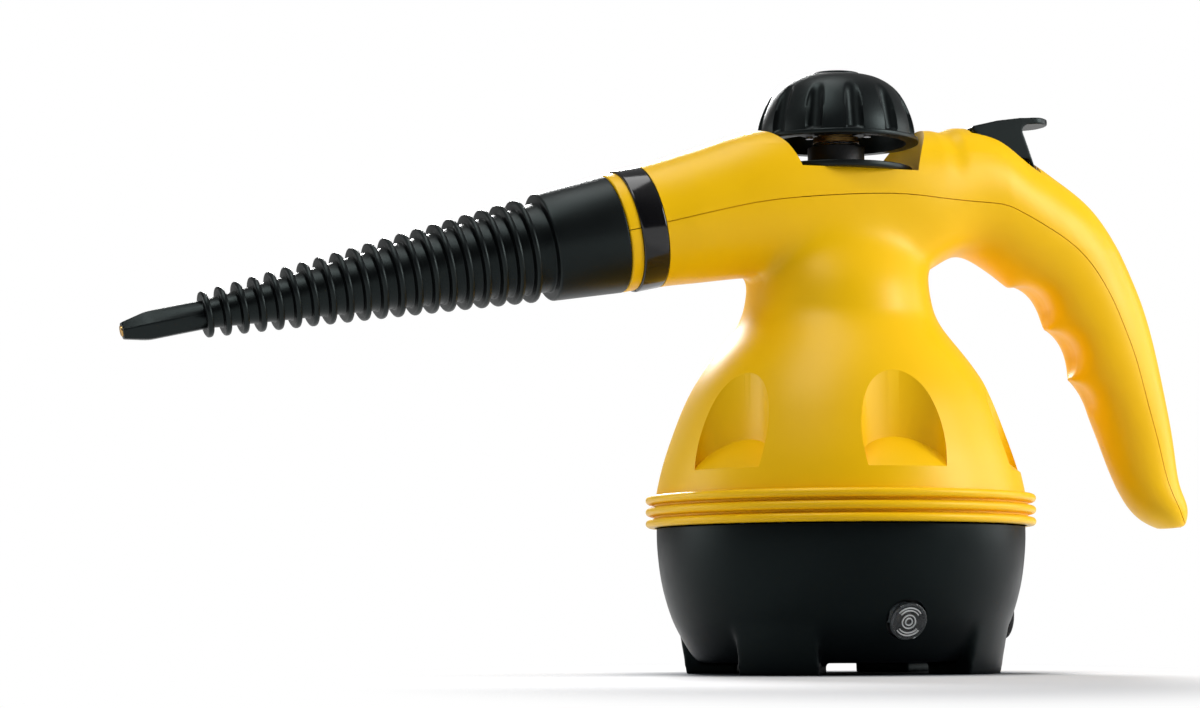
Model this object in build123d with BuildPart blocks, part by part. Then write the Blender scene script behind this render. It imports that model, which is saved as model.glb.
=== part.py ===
from build123d import *
from math import cos, radians, sin, sqrt
import os

# Hand-held steam cleaner. +Z is up, the floor is Z = 0 and the boiler's axis is the Z axis.
# The spout points to -X, the handle to +X, and the indicator lens is on the -Y side.

os.makedirs("parts", exist_ok=True)

# Clearances and cutting
overrun = 4.0
body_gap = 0.3
fit_gap = 0.1
pin_gap = 0.05
seam_gap = 0.3
wall = 2.6

# Body of the housing
belly_r = 69.2
neck_r = 34.6
base_z = 55.0
skirt_gap = 0.2
skirt_z = base_z + skirt_gap
skirt_height = 13.4
belly_z = skirt_z + skirt_height
bulb_height = 77.4
neck_z = belly_z + bulb_height
rib_root_step = 1.1
rib_proud = 3.1
rib_root_r = belly_r + rib_root_step
rib_r = rib_root_r + rib_proud
rib_thick = 3.2
rib_pitch = 4.75
rib_count = 3
bulb_height_shares = (0.0, 0.093, 0.289, 0.503, 0.677, 0.819, 1.0)
bulb_swell_shares = (1.0, 0.954, 0.812, 0.598, 0.329, 0.098, 0.0)
shoulder_rise = 12.0
shoulder_z = neck_z + shoulder_rise
shoulder_half_width = 31.5
crown_root_rise = 18.0
crown_root_z = shoulder_z + crown_root_rise
crown_root_half_length = 33.0
crown_root_half_width = 24.0

# Scooped dimples round the bulb
dimple_count = 6
dimple_half_width = 16.0
dimple_half_depth = 9.5
dimple_inset = 6.1
dimple_centre_r = belly_r - dimple_inset
dimple_height = 43.0
dimple_low_step = 1.6
dimple_low_r = belly_r - dimple_low_step
dimple_low_rise = 6.4
dimple_low_z = belly_z + dimple_low_rise
dimple_top_z = dimple_low_z + dimple_height
dimple_reach_in = 14.0
dimple_high_r = dimple_low_r - dimple_reach_in
dimple_floor_rise = 11.0
dimple_high_z = dimple_low_z + dimple_floor_rise

# Spout, sloping down towards -X; s runs along it from the middle of the band
spout_tilt = 12.58
band_half = 5.0
spout_r = 23.0
band_thick = 2.5
band_seat_r = spout_r - band_thick
lip_length = 4.5
lip_s = band_half + lip_length
lip_step = 0.8
lip_r = spout_r - lip_step
socket_bore_r = 18.3
socket_end_s = -30.0

# Crown and handle: back outline, inner outline, half widths and fullness of each section
handle_reach = 144.8
spout_reach = 80.9
crown_rise = 63.3
crown_z = neck_z + crown_rise
band_drop = 43.8
band_x = -spout_reach
band_z = crown_z - band_drop
section_back_x_shares = (-0.847, -0.694, -0.471, -0.247, -0.024, 0.117, 0.242, 0.348, 0.473, 0.589,
                         0.715, 0.809, 0.876, 0.919, 0.943, 0.963, 0.979, 0.996, 0.990)
section_back_z_shares = (0.922, 0.942, 0.971, 0.984, 0.991, 0.992, 0.990, 0.998, 0.979, 0.925,
                         0.864, 0.776, 0.678, 0.569, 0.487, 0.406, 0.334, 0.286, 0.266)
section_front_x_shares = (-0.718, -0.558, -0.341, -0.173, 0.0, 0.114, 0.228, 0.322, 0.396, 0.476,
                          0.536, 0.582, 0.623, 0.657, 0.714, 0.762, 0.822, 0.894, 0.928)
section_front_z_shares = (0.697, 0.705, 0.714, 0.716, 0.717, 0.719, 0.724, 0.758, 0.751, 0.714,
                          0.673, 0.630, 0.583, 0.538, 0.483, 0.406, 0.320, 0.272, 0.262)
handle_half_width = 16.8
section_width_shares = (1.43, 1.49, 1.54, 1.55, 1.53, 1.49, 1.41, 1.27, 1.16, 1.07,
                        1.02, 1.0, 0.98, 0.95, 0.90, 0.83, 0.73, 0.61, 0.42)
section_fullness_shares = (0.56, 0.58, 0.63, 0.655, 0.66, 0.655, 0.64, 0.60, 0.57, 0.56,
                           0.56, 0.56, 0.56, 0.56, 0.56, 0.56, 0.56, 0.56, 0.56)
round_share = 0.5523
crown_section_count = 10
hollow_section_count = 11
plain_section_count = 7

# Finger grooves in the handle
groove_r = 11.8
groove_x_shares = (0.518, 0.597, 0.645)
groove_z_shares = (0.652, 0.572, 0.481)

# Parting seam of the two shells, seen from the side
seam_x_shares = (-1.289, -1.063, -0.656, -0.315, 0.081, 0.243, 0.388, 0.466, 0.579, 0.669, 0.735,
                 0.779, 0.815, 0.849, 0.882, 0.909, 0.944, 0.987, 1.08)
seam_z_shares = (0.778, 0.796, 0.836, 0.850, 0.858, 0.861, 0.853, 0.844, 0.810, 0.764, 0.701,
                 0.636, 0.565, 0.486, 0.414, 0.349, 0.296, 0.268, 0.250)

# Recess under the cap
recess_r = 33.5
recess_depth = 20.8
recess_z = crown_z - recess_depth
recess_hole_r = 12.5

# Base shell with its feet
base_step = 0.8
base_r = belly_r + base_step
base_floor_z = 4.4
base_wall = 2.5
base_height_shares = (0.842, 0.644, 0.476, 0.328, 0.206, 0.0)
base_radius_shares = (1.0, 0.980, 0.954, 0.920, 0.879, 0.793)
spigot_rise = 4.0
spigot_gap = 0.2
foot_count = 4
foot_arc = 31.0
foot_inner_r = 40.0
foot_low_r = 59.5
foot_high_r = 63.2
foot_high_z = 19.5
foot_edge_r = 1.6

# Screw towers, bracket and the screws that hold the base
tower_ring_r = 52.0
tower_r = 5.0
tower_top_z = 50.0
tower_web = 3.0
tunnel_r = 3.4
boss_r = 4.5
boss_top_z = 92.0
boss_rib_thick = 2.2
screw_r = 1.5
screw_head_r = 2.8
screw_head_height = 2.0
screw_length = 14.0

# Boiler
boiler_r = 40.0
boiler_wall = 3.0
boiler_low_z = 22.0
boiler_high_z = 98.0
boiler_shoulder_z = 80.0
boiler_corner_r = 8.0
dome_run_share = 0.62
dome_rise_share = 0.72
boiler_port_r = 14.0
boiler_port_z = 104.0
flange_r = 47.0
flange_thick = 3.0
gasket_thick = 1.0
bracket_thick = 1.5
bracket_arm_half_width = 5.0
bolt_count = 6
bolt_ring_r = 43.6
bolt_r = 1.6
bolt_head_r = 2.8
bolt_head_height = 2.0
jacket_thick = 4.0
jacket_low_z = 63.0
jacket_high_z = 79.0

# Heater and its controls
element_ring_r = 26.0
element_r = 4.0
element_arc = 310.0
element_pin_r = 1.8
element_pin_drop = 8.0
thermostat_r = 8.0
thermostat_height = 6.0
thermostat_step_share = 0.8
cutoff_r = 2.5
cutoff_length = 10.0
cutoff_x = 13.0
terminal_length = 24.0
terminal_width = 12.0
terminal_height = 10.0
terminal_x = 47.0

# Filler and the dish under the cap
filler_r = 9.0
filler_bore_r = 7.0
filler_rise = 9.5
filler_top_z = recess_z + filler_rise
dish_gap = 4.5
dish_r = recess_r - dish_gap
dish_floor = 2.0
dish_rim = 2.4
dish_rim_thick = 1.6
dish_boss_r = 10.8
dish_boss_rise = 11.0
dish_boss_z = recess_z + dish_boss_rise
dish_screw_ring_r = 20.0
dish_screw_count = 3
dish_screw_length = 7.5
dish_screw_boss_r = 3.6

# Cap
cap_rim_r = 31.4
cap_rim_rise = 12.1
cap_rim_z = recess_z + cap_rim_rise
cap_rim_height = 1.8
cap_rim_step = 1.4
cap_skirt_r = cap_rim_r - cap_rim_step
cap_height = 26.2
cap_top_z = cap_rim_z + cap_height
cap_wall = 3.4
cap_height_shares = (0.124, 0.265, 0.502, 0.739, 0.894, 0.984)
cap_radius_shares = (1.0, 0.985, 0.918, 0.800, 0.644, 0.450)
cap_disc_r = 9.4
cap_disc_thick = 1.3
flute_count = 12
flute_r = 3.3
flute_low_step = 1.2
flute_low_r = cap_skirt_r + flute_low_step
flute_lean = 4.1
flute_high_r = flute_low_r - flute_lean
flute_height = 19.4
flute_high_z = cap_rim_z + flute_height
flute_turn = 6.5
hub_r = 14.5
hub_bore_r = 11.4
hub_rise = 5.9
hub_low_z = cap_rim_z + hub_rise
retainer_bore_r = 9.0
retainer_thick = 1.5
cap_screw_count = 3
cap_screw_ring_r = 12.9
cap_screw_r = 0.8
cap_screw_head_r = 1.4
cap_screw_head_height = 0.8
cap_screw_length = 6.0
core_shank_r = 6.6
core_depth = 16.0
core_low_z = filler_top_z - core_depth
core_collar_r = 8.6
core_collar_height = 2.1
core_neck_r = 6.5
core_head_r = 11.0
core_head_height = 4.2
seal_thick = 1.4
seal_r = 8.8
washer_thick = 0.8
washer_r = 8.6
cap_spring_r = 6.0
spring_wire = 1.2

# Relief valve inside the cap's core
relief_bore_r = 3.2
relief_hole_r = 1.5
relief_seat_height = 3.0
relief_ball_r = 2.6
relief_plug_height = 4.0

# Nozzle
taper_low_s = 9.8
taper_back_r = 22.2
taper_end_s = 37.0
taper_front_r = 20.1
fin_count = 20
fin_first_s = 44.6
fin_last_s = 165.0
fin_first_r = 19.3
fin_last_r = 8.4
fin_thick = 2.2
fin_depth = 3.3
shank_end_s = 186.6
shank_half_width = 5.0
tip_s = 195.6
tip_r = 2.95
spigot_r = 13.0
spigot_end_s = -22.0
spigot_bore_r = 8.0
spigot_bore_end_s = 2.0
nozzle_bore_r = 3.4
liner_bore_r = 2.0
jet_r = 2.0
jet_hole_r = 0.7
jet_length = 8.0
jet_proud = 0.5
latch_low_s = -20.0
latch_high_s = 4.0
latch_r = 16.0
latch_lug_count = 3
latch_lug_width = 6.0
latch_lug_depth = 0.8
socket_wall_s = -26.0
socket_end_thick = 3.0
socket_front_s = 9.0
nipple_r = 3.0
nipple_bore_r = 1.6
nipple_flange_r = 7.0
nipple_flange_thick = 2.0
nipple_front_s = -8.0
nipple_tail_s = -34.0
nozzle_seal_s = -14.0
nozzle_seal_r = 1.4
band_split = 1.2

# Trigger and steam valve
pivot_share = 0.39365
pivot_x = handle_reach * pivot_share
pivot_depth = 6.3
pivot_z = crown_z - pivot_depth
trigger_hub_r = 3.6
trigger_pin_r = 1.5
fin_half_width = 6.0
pad_half_width = 10.0
pad_thick = 2.6
pad_lead = 4.0
pad_front_x = pivot_x - pad_lead
pad_front_rise = 6.6
pad_front_z = pivot_z + pad_front_rise
pad_mid_run = 15.4
pad_mid_x = pivot_x + pad_mid_run
pad_mid_rise = 10.2
pad_mid_z = pivot_z + pad_mid_rise
pad_run = 29.3
pad_end_x = pivot_x + pad_run
pad_end_rise = 10.6
pad_end_z = pivot_z + pad_end_rise
pad_corner_r = 6.0
fin_lead = 2.0
fin_front_x = pivot_x - fin_lead
fin_top_run = 18.3
fin_rear_top_x = pivot_x + fin_top_run
fin_low_run = 23.4
fin_rear_low_x = pivot_x + fin_low_run
fin_drop = 5.5
fin_low_z = pivot_z - fin_drop
fin_rear_drop = 7.4
fin_rear_low_z = pivot_z - fin_rear_drop
nose_r = 1.5
slot_run = 26.0
slot_rear_x = pivot_x + slot_run
slot_depth = 15.0
slot_low_z = pivot_z - slot_depth
slot_side_gap = 0.6
pocket_lead = 5.4
pocket_front_x = pivot_x - pocket_lead
pocket_run = 6.5
pocket_rear_x = pivot_x + pocket_run
pocket_rise = 2.2
pocket_floor_z = pivot_z + pocket_rise
ear_thick = 3.2
ear_half_length = 6.0
ear_height = 10.5
valve_run = 12.5
valve_x = pivot_x + valve_run
valve_length = 20.0
valve_width = 16.0
valve_height = 17.0
valve_drop = 16.0
valve_top_z = pivot_z - valve_drop
valve_low_z = valve_top_z - valve_height
plunger_r = 3.0
plunger_drop = 7.3
plunger_top_z = pivot_z - plunger_drop
plunger_floor = 3.0
plunger_low_z = valve_low_z + plunger_floor
plunger_gap = 3.0
plunger_foot_z = plunger_low_z + plunger_gap
plunger_seal_r = 2.4
plunger_head_r = 4.4
plunger_head_height = 1.6
gland_r = 6.0
gland_height = 2.0
valve_post_half = 6.0
valve_post_height = 20.0
valve_post_foot_z = valve_low_z - valve_post_height
tube_r = 2.4
tube_bore_r = 1.5
inlet_x = 22.0
inlet_y = -6.0
outlet_y = 15.5
port_y = 3.4
bend_r = 7.0
outlet_pass_x = 22.0
outlet_turn_x = 42.0
inlet_port_rise = 5.0
inlet_port_z = valve_low_z + inlet_port_rise
outlet_port_step = 4.0
outlet_port_z = inlet_port_z + outlet_port_step

# Lens, lamp and cord gland
lens_z = 19.5
lens_r = 7.75
lens_flange = 1.2
lens_depth = 6.2
lens_ring_width = 0.9
lens_ring_depth = 0.6
lens_ring_shares = (0.30, 0.60, 0.90)
lens_lean = 21.0
lens_out_r = 64.2
lamp_r = 3.0
lamp_length = 9.0
lamp_gap = 0.3
gland_z = 22.0
gland_out_r = 65.0
gland_body_r = 7.0
gland_flange_r = 9.5
gland_flange_thick = 2.0
gland_length = 14.0
cord_bore_r = 3.6

# Handle screws
handle_screw_x_share = 0.7485
handle_screw_z_share = 0.4013
handle_screw_head_r = 2.8
handle_screw_length = 16.0
handle_screw_depth = 3.0
handle_screw_x = handle_reach * handle_screw_x_share
handle_screw_z = crown_z * handle_screw_z_share


def at_share(total, shares):
    return [total * share for share in shares]


# Place along X by a share of the handle's reach, or of the spout's where it is negative
def along_reach(share):
    return share * (handle_reach if share > 0 else spout_reach)


def spout_point(s, up):
    slope = radians(spout_tilt)
    return (band_x - s * cos(slope) - up * sin(slope), 0, band_z - s * sin(slope) + up * cos(slope))


spout_dir = Vector(-cos(radians(spout_tilt)), 0, -sin(radians(spout_tilt)))
spout_side = Plane(origin=spout_point(0, 0), x_dir=spout_dir, z_dir=(0, 1, 0))
spout_axis = Axis(origin=spout_point(0, 0), direction=spout_dir)
belly_height = neck_z - belly_z


def spout_plane(s):
    return Plane(origin=spout_point(s, 0), x_dir=(0, -1, 0), z_dir=spout_dir)


# One rounded section from four quarter curves; fullness squares its corners
def quarter_loop(half_u, half_v, fullness):
    for turn_u, turn_v in ((1, 1), (-1, 1), (-1, -1), (1, -1)):
        u, v = half_u * turn_u, half_v * turn_v
        if turn_u * turn_v > 0:
            Bezier((u, 0), (u, v * fullness), (u * fullness, v), (0, v))
        else:
            Bezier((0, v), (u * fullness, v), (u, v * fullness), (u, 0))


# Bulb from the skirt to the neck, turned about the boiler's axis
def bulb_solid(inset):
    radii = [neck_r + (belly_r - neck_r) * share - inset for share in bulb_swell_shares]
    heights = [belly_z + belly_height * share for share in bulb_height_shares]
    skirt = rib_root_r - inset
    with BuildPart() as bulb:
        with BuildSketch(Plane.XZ):
            with BuildLine():
                Polyline((0, heights[-1]), (0, skirt_z), (skirt, skirt_z), (skirt, belly_z),
                         (radii[0], belly_z))
                Spline(list(zip(radii, heights)), tangents=[(-0.1, 1), (0, 1)])
                Line((radii[-1], heights[-1]), (0, heights[-1]))
            make_face()
        revolve(axis=Axis.Z)
    return bulb.part


# Neck blending from the round bulb to the narrower crown
def neck_solid(inset):
    with BuildPart() as neck:
        with BuildSketch(Plane.XY.offset(neck_z)):
            with BuildLine():
                for quarter in range(4):
                    CenterArc((0, 0), neck_r - inset, quarter * 90, 90)
            make_face()
        with BuildSketch(Plane.XY.offset(shoulder_z)):
            with BuildLine():
                quarter_loop(neck_r - inset, shoulder_half_width - inset, round_share)
            make_face()
        with BuildSketch(Plane.XY.offset(crown_root_z)):
            with BuildLine():
                quarter_loop(crown_root_half_length - inset, crown_root_half_width - inset, round_share)
            make_face()
        loft()
    return neck.part


# One section across the crown or handle, counted from the spout
def arm_section(number, inset, finger_inset):
    back = Vector(along_reach(section_back_x_shares[number]), 0, section_back_z_shares[number] * crown_z)
    front = Vector(along_reach(section_front_x_shares[number]), 0, section_front_z_shares[number] * crown_z)
    across = (back - front).normalized()
    low = front + across * (inset if number < plain_section_count else finger_inset)
    high = back - across * inset
    plane = Plane(origin=(low + high) * 0.5, x_dir=(0, -1, 0), z_dir=(-across.Z, 0, across.X))
    half_width = handle_half_width * section_width_shares[number] - inset
    with BuildSketch(plane) as section:
        with BuildLine():
            quarter_loop(half_width, (high - low).length / 2, section_fullness_shares[number])
        make_face()
    return section.sketch


# Spout and crown in one loft, from the band over the given count of sections
def crown_solid(inset, finger_inset, section_count):
    sections = [arm_section(number, inset, finger_inset) for number in range(section_count)]
    with BuildSketch(spout_plane(-band_half - inset)) as mouth:
        with BuildLine():
            quarter_loop(spout_r - inset, spout_r - inset, round_share)
        make_face()
    with BuildPart() as crown:
        loft([mouth.sketch] + sections)
    return crown.part


# Handle in a second loft, from the crown's last section to the tip
def handle_solid():
    numbers = range(crown_section_count - 1, len(section_back_x_shares))
    sections = [arm_section(number, 0, 0) for number in numbers]
    with BuildPart() as handle:
        loft(sections)
    return handle.part


# One dimple's cutter at -Y: an upright elliptic flute above a sloping floor
def dimple_solid(grow):
    slope = (dimple_high_z - dimple_low_z) / (dimple_low_r - dimple_high_r)
    out_r = dimple_low_r + overrun
    with BuildPart() as dimple:
        with BuildSketch(Plane.XY.offset(dimple_low_z - overrun * slope - grow)):
            with Locations((0, -dimple_centre_r)):
                Ellipse(dimple_half_width + grow, dimple_half_depth + grow)
        extrude(amount=dimple_top_z - dimple_low_z + overrun * slope)
        with BuildSketch(Plane.XZ):
            with BuildLine():
                Polyline((0, dimple_low_z - overrun * slope - grow),
                         (out_r, dimple_low_z - overrun * slope - grow),
                         (0, dimple_low_z + dimple_low_r * slope - grow), close=True)
            make_face()
        revolve(axis=Axis.Z, mode=Mode.SUBTRACT)
    return dimple.part


# The region above the parting seam
def above_seam(shift):
    xs = [along_reach(share) - shift for share in seam_x_shares]
    zs = [z - shift for z in at_share(crown_z, seam_z_shares)]
    top = crown_z + 10 * overrun
    with BuildPart() as region:
        with BuildSketch(Plane.XZ):
            with BuildLine():
                Spline(list(zip(xs, zs)))
                Polyline((xs[-1], zs[-1]), (xs[-1], top), (xs[0], top), (xs[0], zs[0]))
            make_face()
        extrude(amount=belly_r, both=True)
    return region.part


# Whole outer form of the two shells, and the hollow inside it
def outer_form():
    bulb, neck = bulb_solid(0), neck_solid(0)
    crown, handle = crown_solid(0, 0, crown_section_count), handle_solid()
    scoop = dimple_solid(0)
    with BuildPart() as form:
        add(bulb)
        with BuildSketch(Plane.XZ):
            for number in range(rib_count):
                rib_z = skirt_z + rib_thick / 2 + number * rib_pitch
                with Locations((rib_r - rib_thick / 2, rib_z)):
                    Circle(rib_thick / 2)
                with Locations((rib_r - rib_thick / 2, rib_z)):
                    Rectangle(rib_r - rib_root_r + wall / 2, rib_thick, align=(Align.MAX, Align.CENTER))
        revolve(axis=Axis.Z)
        with PolarLocations(0, dimple_count):
            add(scoop, mode=Mode.SUBTRACT)
        add(neck)
        add(crown)
        add(handle)
        with BuildSketch(spout_side):
            with BuildLine():
                Polyline((socket_end_s, 0), (socket_end_s, band_seat_r), (band_half, band_seat_r),
                         (band_half, lip_r), (lip_s, lip_r), (lip_s, 0), close=True)
            make_face()
        revolve(axis=spout_axis)
        for x_share, z_share in zip(groove_x_shares, groove_z_shares):
            with BuildSketch(Plane.XZ):
                with Locations((handle_reach * x_share, crown_z * z_share)):
                    Circle(groove_r)
            extrude(amount=belly_r, both=True, mode=Mode.SUBTRACT)
    return form.part


def hollow_form():
    bulb, neck = bulb_solid(wall), neck_solid(wall)
    crown = crown_solid(wall, groove_r - wall, hollow_section_count)
    scoop = dimple_solid(wall)
    with BuildPart() as hollow:
        add(bulb)
        with BuildSketch(Plane.XY.offset(skirt_z - overrun)):
            Circle(rib_root_r - wall)
        extrude(amount=overrun)
        with PolarLocations(0, dimple_count):
            add(scoop, mode=Mode.SUBTRACT)
        add(neck)
        add(crown)
        with BuildSketch(Plane.XY.offset(recess_z - wall)):
            Circle(recess_r + wall)
        extrude(amount=crown_z - recess_z + wall, mode=Mode.SUBTRACT)
    return hollow.part


# Writes a finished piece to its own file
def keep(piece, name):
    piece.label = name
    export_step(piece, f"parts/{name}.step")


outer = outer_form()
hollow = hollow_form()
upper_region = above_seam(0)
lower_region = above_seam(seam_gap / sqrt(2))

# Lower housing: bulb, neck, spout underside and finger side, with the screw bosses and the valve's post
boss_low_z = tower_top_z + bracket_thick
with BuildPart() as lower_inside:
    for number in range(foot_count):
        turn = 45 + number * 360 / foot_count
        boss_x, boss_y = tower_ring_r * cos(radians(turn)), tower_ring_r * sin(radians(turn))
        with BuildSketch(Plane.XY.offset(boss_low_z)):
            with Locations((boss_x, boss_y)):
                Circle(boss_r)
        extrude(amount=boss_top_z - boss_low_z)
        with BuildSketch(Plane.XY.offset(belly_z)):
            with Locations(Location((0, 0), turn)):
                with Locations((tower_ring_r + boss_r, 0)):
                    Rectangle(2 * boss_r, boss_rib_thick)
        extrude(amount=boss_top_z - belly_z)
        with BuildSketch(Plane.XY.offset(boss_low_z)):
            with Locations((boss_x, boss_y)):
                Circle(screw_r)
        extrude(amount=screw_length, mode=Mode.SUBTRACT)
    with BuildSketch(Plane.XY.offset(valve_post_foot_z)):
        with Locations((valve_x, 0)):
            Rectangle(2 * valve_post_half, 2 * valve_post_half)
    extrude(amount=valve_low_z - valve_post_foot_z)
    add(outer, mode=Mode.INTERSECT)

with BuildPart() as socket_bore:
    with BuildSketch(spout_plane(socket_end_s)):
        Circle(socket_bore_r)
    extrude(amount=lip_s - socket_end_s + overrun)

handle_screw_axis = Plane(origin=(handle_screw_x, 0, handle_screw_z), z_dir=(1, 0, 0))
with BuildPart() as lower_housing:
    add(outer)
    add(lower_region, mode=Mode.SUBTRACT)
    add(hollow, mode=Mode.SUBTRACT)
    add(socket_bore.part, mode=Mode.SUBTRACT)
    add(lower_inside.part)
    with BuildSketch(handle_screw_axis):
        Circle(handle_screw_head_r + fit_gap)
    extrude(amount=handle_screw_depth, both=True, mode=Mode.SUBTRACT)
    with BuildSketch(handle_screw_axis):
        Circle(screw_r)
    extrude(amount=handle_screw_depth + handle_screw_length, mode=Mode.SUBTRACT)
keep(lower_housing.part, "lower_housing")

# Upper housing: top of the spout, crown with the recess, back of the handle
with BuildPart() as upper_inside:
    for side in (1, -1):
        with BuildSketch(Plane.XZ.offset(side * (fin_half_width + slot_side_gap + ear_thick / 2))):
            with Locations((pivot_x, pivot_z)):
                Rectangle(2 * ear_half_length, ear_height)
        extrude(amount=ear_thick / 2, both=True)
    with BuildSketch(Plane.XY.offset(recess_z - dish_screw_length + dish_floor)):
        with PolarLocations(dish_screw_ring_r, dish_screw_count, start_angle=30):
            Circle(dish_screw_boss_r)
    extrude(amount=dish_screw_length - dish_floor - wall)
    add(outer, mode=Mode.INTERSECT)

with BuildPart() as upper_housing:
    add(outer)
    add(upper_region, mode=Mode.INTERSECT)
    add(hollow, mode=Mode.SUBTRACT)
    add(socket_bore.part, mode=Mode.SUBTRACT)
    add(upper_inside.part)
    with BuildSketch(Plane.XY.offset(recess_z)):
        Circle(recess_r)
    extrude(amount=crown_z - recess_z + overrun, mode=Mode.SUBTRACT)
    with BuildSketch(Plane.XY.offset(recess_z - 2 * wall)):
        Circle(recess_hole_r)
    extrude(amount=3 * wall, mode=Mode.SUBTRACT)
    with BuildSketch(Plane.XY.offset(recess_z - dish_screw_length + dish_floor)):
        with PolarLocations(dish_screw_ring_r, dish_screw_count, start_angle=30):
            Circle(screw_r)
    extrude(amount=dish_screw_length, mode=Mode.SUBTRACT)
    with BuildSketch(Plane.XY.offset(slot_low_z)):
        with Locations(((fin_front_x - slot_side_gap * 4 + slot_rear_x) / 2, 0)):
            Rectangle(slot_rear_x - fin_front_x + slot_side_gap * 4, 2 * (fin_half_width + slot_side_gap))
    extrude(amount=crown_z - slot_low_z + overrun, mode=Mode.SUBTRACT)
    with BuildSketch(Plane.XY.offset(pocket_floor_z)):
        with Locations(((pocket_front_x + pocket_rear_x) / 2, 0)):
            Rectangle(pocket_rear_x - pocket_front_x, 2 * (pad_half_width + slot_side_gap))
    extrude(amount=crown_z - pocket_floor_z + overrun, mode=Mode.SUBTRACT)
    with BuildSketch(Plane.XZ):
        with Locations((pivot_x, pivot_z)):
            Circle(trigger_pin_r)
    extrude(amount=fin_half_width + slot_side_gap + ear_thick, both=True, mode=Mode.SUBTRACT)
    with BuildSketch(handle_screw_axis):
        Circle(screw_r)
    extrude(amount=handle_screw_depth + handle_screw_length, mode=Mode.SUBTRACT)
keep(upper_housing.part, "upper_housing")


# Closed ring or tube profile turned about the Z axis: corners as (radius, height)
def turned(corners):
    with BuildPart() as solid:
        with BuildSketch(Plane.XZ):
            with BuildLine():
                Polyline(*corners, close=True)
            make_face()
        revolve(axis=Axis.Z)
    return solid.part


# The same about the spout's axis: corners as (distance along it, radius)
def spout_turned(corners):
    with BuildPart() as solid:
        with BuildSketch(spout_side):
            with BuildLine():
                Polyline(*corners, close=True)
            make_face()
        revolve(axis=spout_axis)
    return solid.part


def polar_point(ring_r, turn):
    return ring_r * cos(radians(turn)), ring_r * sin(radians(turn))


# Base shell: turned bowl with a rim that enters the lower housing, four feet and screw towers
def bowl_solid(inset, low_z, high_z):
    points = [(base_r * r_share - inset, low_z + (base_z - low_z) * z_share)
              for r_share, z_share in zip(base_radius_shares, base_height_shares)]
    with BuildPart() as bowl:
        with BuildSketch(Plane.XZ):
            with BuildLine():
                Polyline((0, low_z), (0, high_z), (base_r - inset, high_z), points[0])
                Spline(points, tangents=[(0, -1), (-1, -1)])
                Line(points[-1], (0, low_z))
            make_face()
        revolve(axis=Axis.Z)
    return bowl.part


lamp_face = Plane(origin=(0, -lens_out_r, lens_z), x_dir=(1, 0, 0),
                  z_dir=(0, -cos(radians(lens_lean)), -sin(radians(lens_lean))))
inlet_face = Plane(origin=(gland_out_r, 0, gland_z), z_dir=(1, 0, 0))
bowl_inside = bowl_solid(base_wall, base_floor_z + base_wall, base_z + overrun)
bowl_outside = bowl_solid(0, base_floor_z, base_z)
spigot_out_r = rib_root_r - wall - spigot_gap
with BuildPart() as base_shell:
    add(bowl_outside)
    for number in range(foot_count):
        turn = 45 + number * 360 / foot_count
        start = Plane.XZ.rotated((0, 0, turn - foot_arc / 2))
        with BuildSketch(start):
            with BuildLine():
                Polyline((foot_inner_r, 0), (foot_low_r, 0), (foot_high_r, foot_high_z),
                         (foot_inner_r, foot_high_z), close=True)
            make_face()
        revolve(axis=Axis.Z, revolution_arc=foot_arc)
    upright = base_shell.edges().filter_by(GeomType.LINE).filter_by(
        lambda edge: edge.center().Z < base_floor_z / 2 + fit_gap and abs(edge.tangent_at(0).Z) > 0.9)
    fillet(upright, foot_edge_r)
    add(bowl_inside, mode=Mode.SUBTRACT)
    with BuildSketch(Plane.XY.offset(base_floor_z)):
        with PolarLocations(tower_ring_r, foot_count, start_angle=45):
            Circle(tower_r)
    extrude(amount=tower_top_z - base_floor_z)
    with BuildSketch(Plane.XY):
        with PolarLocations(tower_ring_r, foot_count, start_angle=45):
            Circle(tunnel_r)
    extrude(amount=tower_top_z - tower_web, mode=Mode.SUBTRACT)
    with BuildSketch(Plane.XY.offset(tower_top_z - tower_web)):
        with PolarLocations(tower_ring_r, foot_count, start_angle=45):
            Circle(screw_r + fit_gap)
    extrude(amount=tower_web, mode=Mode.SUBTRACT)
    with BuildSketch(Plane.XZ):
        with BuildLine():
            Polyline((spigot_out_r - wall, base_z - overrun), (base_r - base_wall / 2, base_z - overrun),
                     (base_r - base_wall / 2, base_z), (spigot_out_r, base_z),
                     (spigot_out_r, base_z + spigot_rise), (spigot_out_r - wall, base_z + spigot_rise),
                     close=True)
        make_face()
    revolve(axis=Axis.Z)
    with BuildSketch(lamp_face):
        Circle(lens_r + fit_gap)
    extrude(amount=lens_depth + base_wall, both=True, mode=Mode.SUBTRACT)
    with BuildSketch(inlet_face):
        Circle(gland_body_r + fit_gap)
    extrude(amount=gland_length, both=True, mode=Mode.SUBTRACT)
    with BuildSketch(inlet_face):
        Circle(gland_flange_r + fit_gap)
    extrude(amount=gland_length, mode=Mode.SUBTRACT)
keep(base_shell.part, "base_shell")

# Screws: one head and shank each, all of a kind in one piece file
def screw_set(places, plane_of, head_r, head_height, shank_r, length):
    with BuildPart() as screws:
        for place in places:
            with BuildSketch(plane_of(place)):
                Circle(head_r)
            extrude(amount=-head_height)
            with BuildSketch(plane_of(place)):
                Circle(shank_r)
            extrude(amount=length)
    return screws.part


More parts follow.
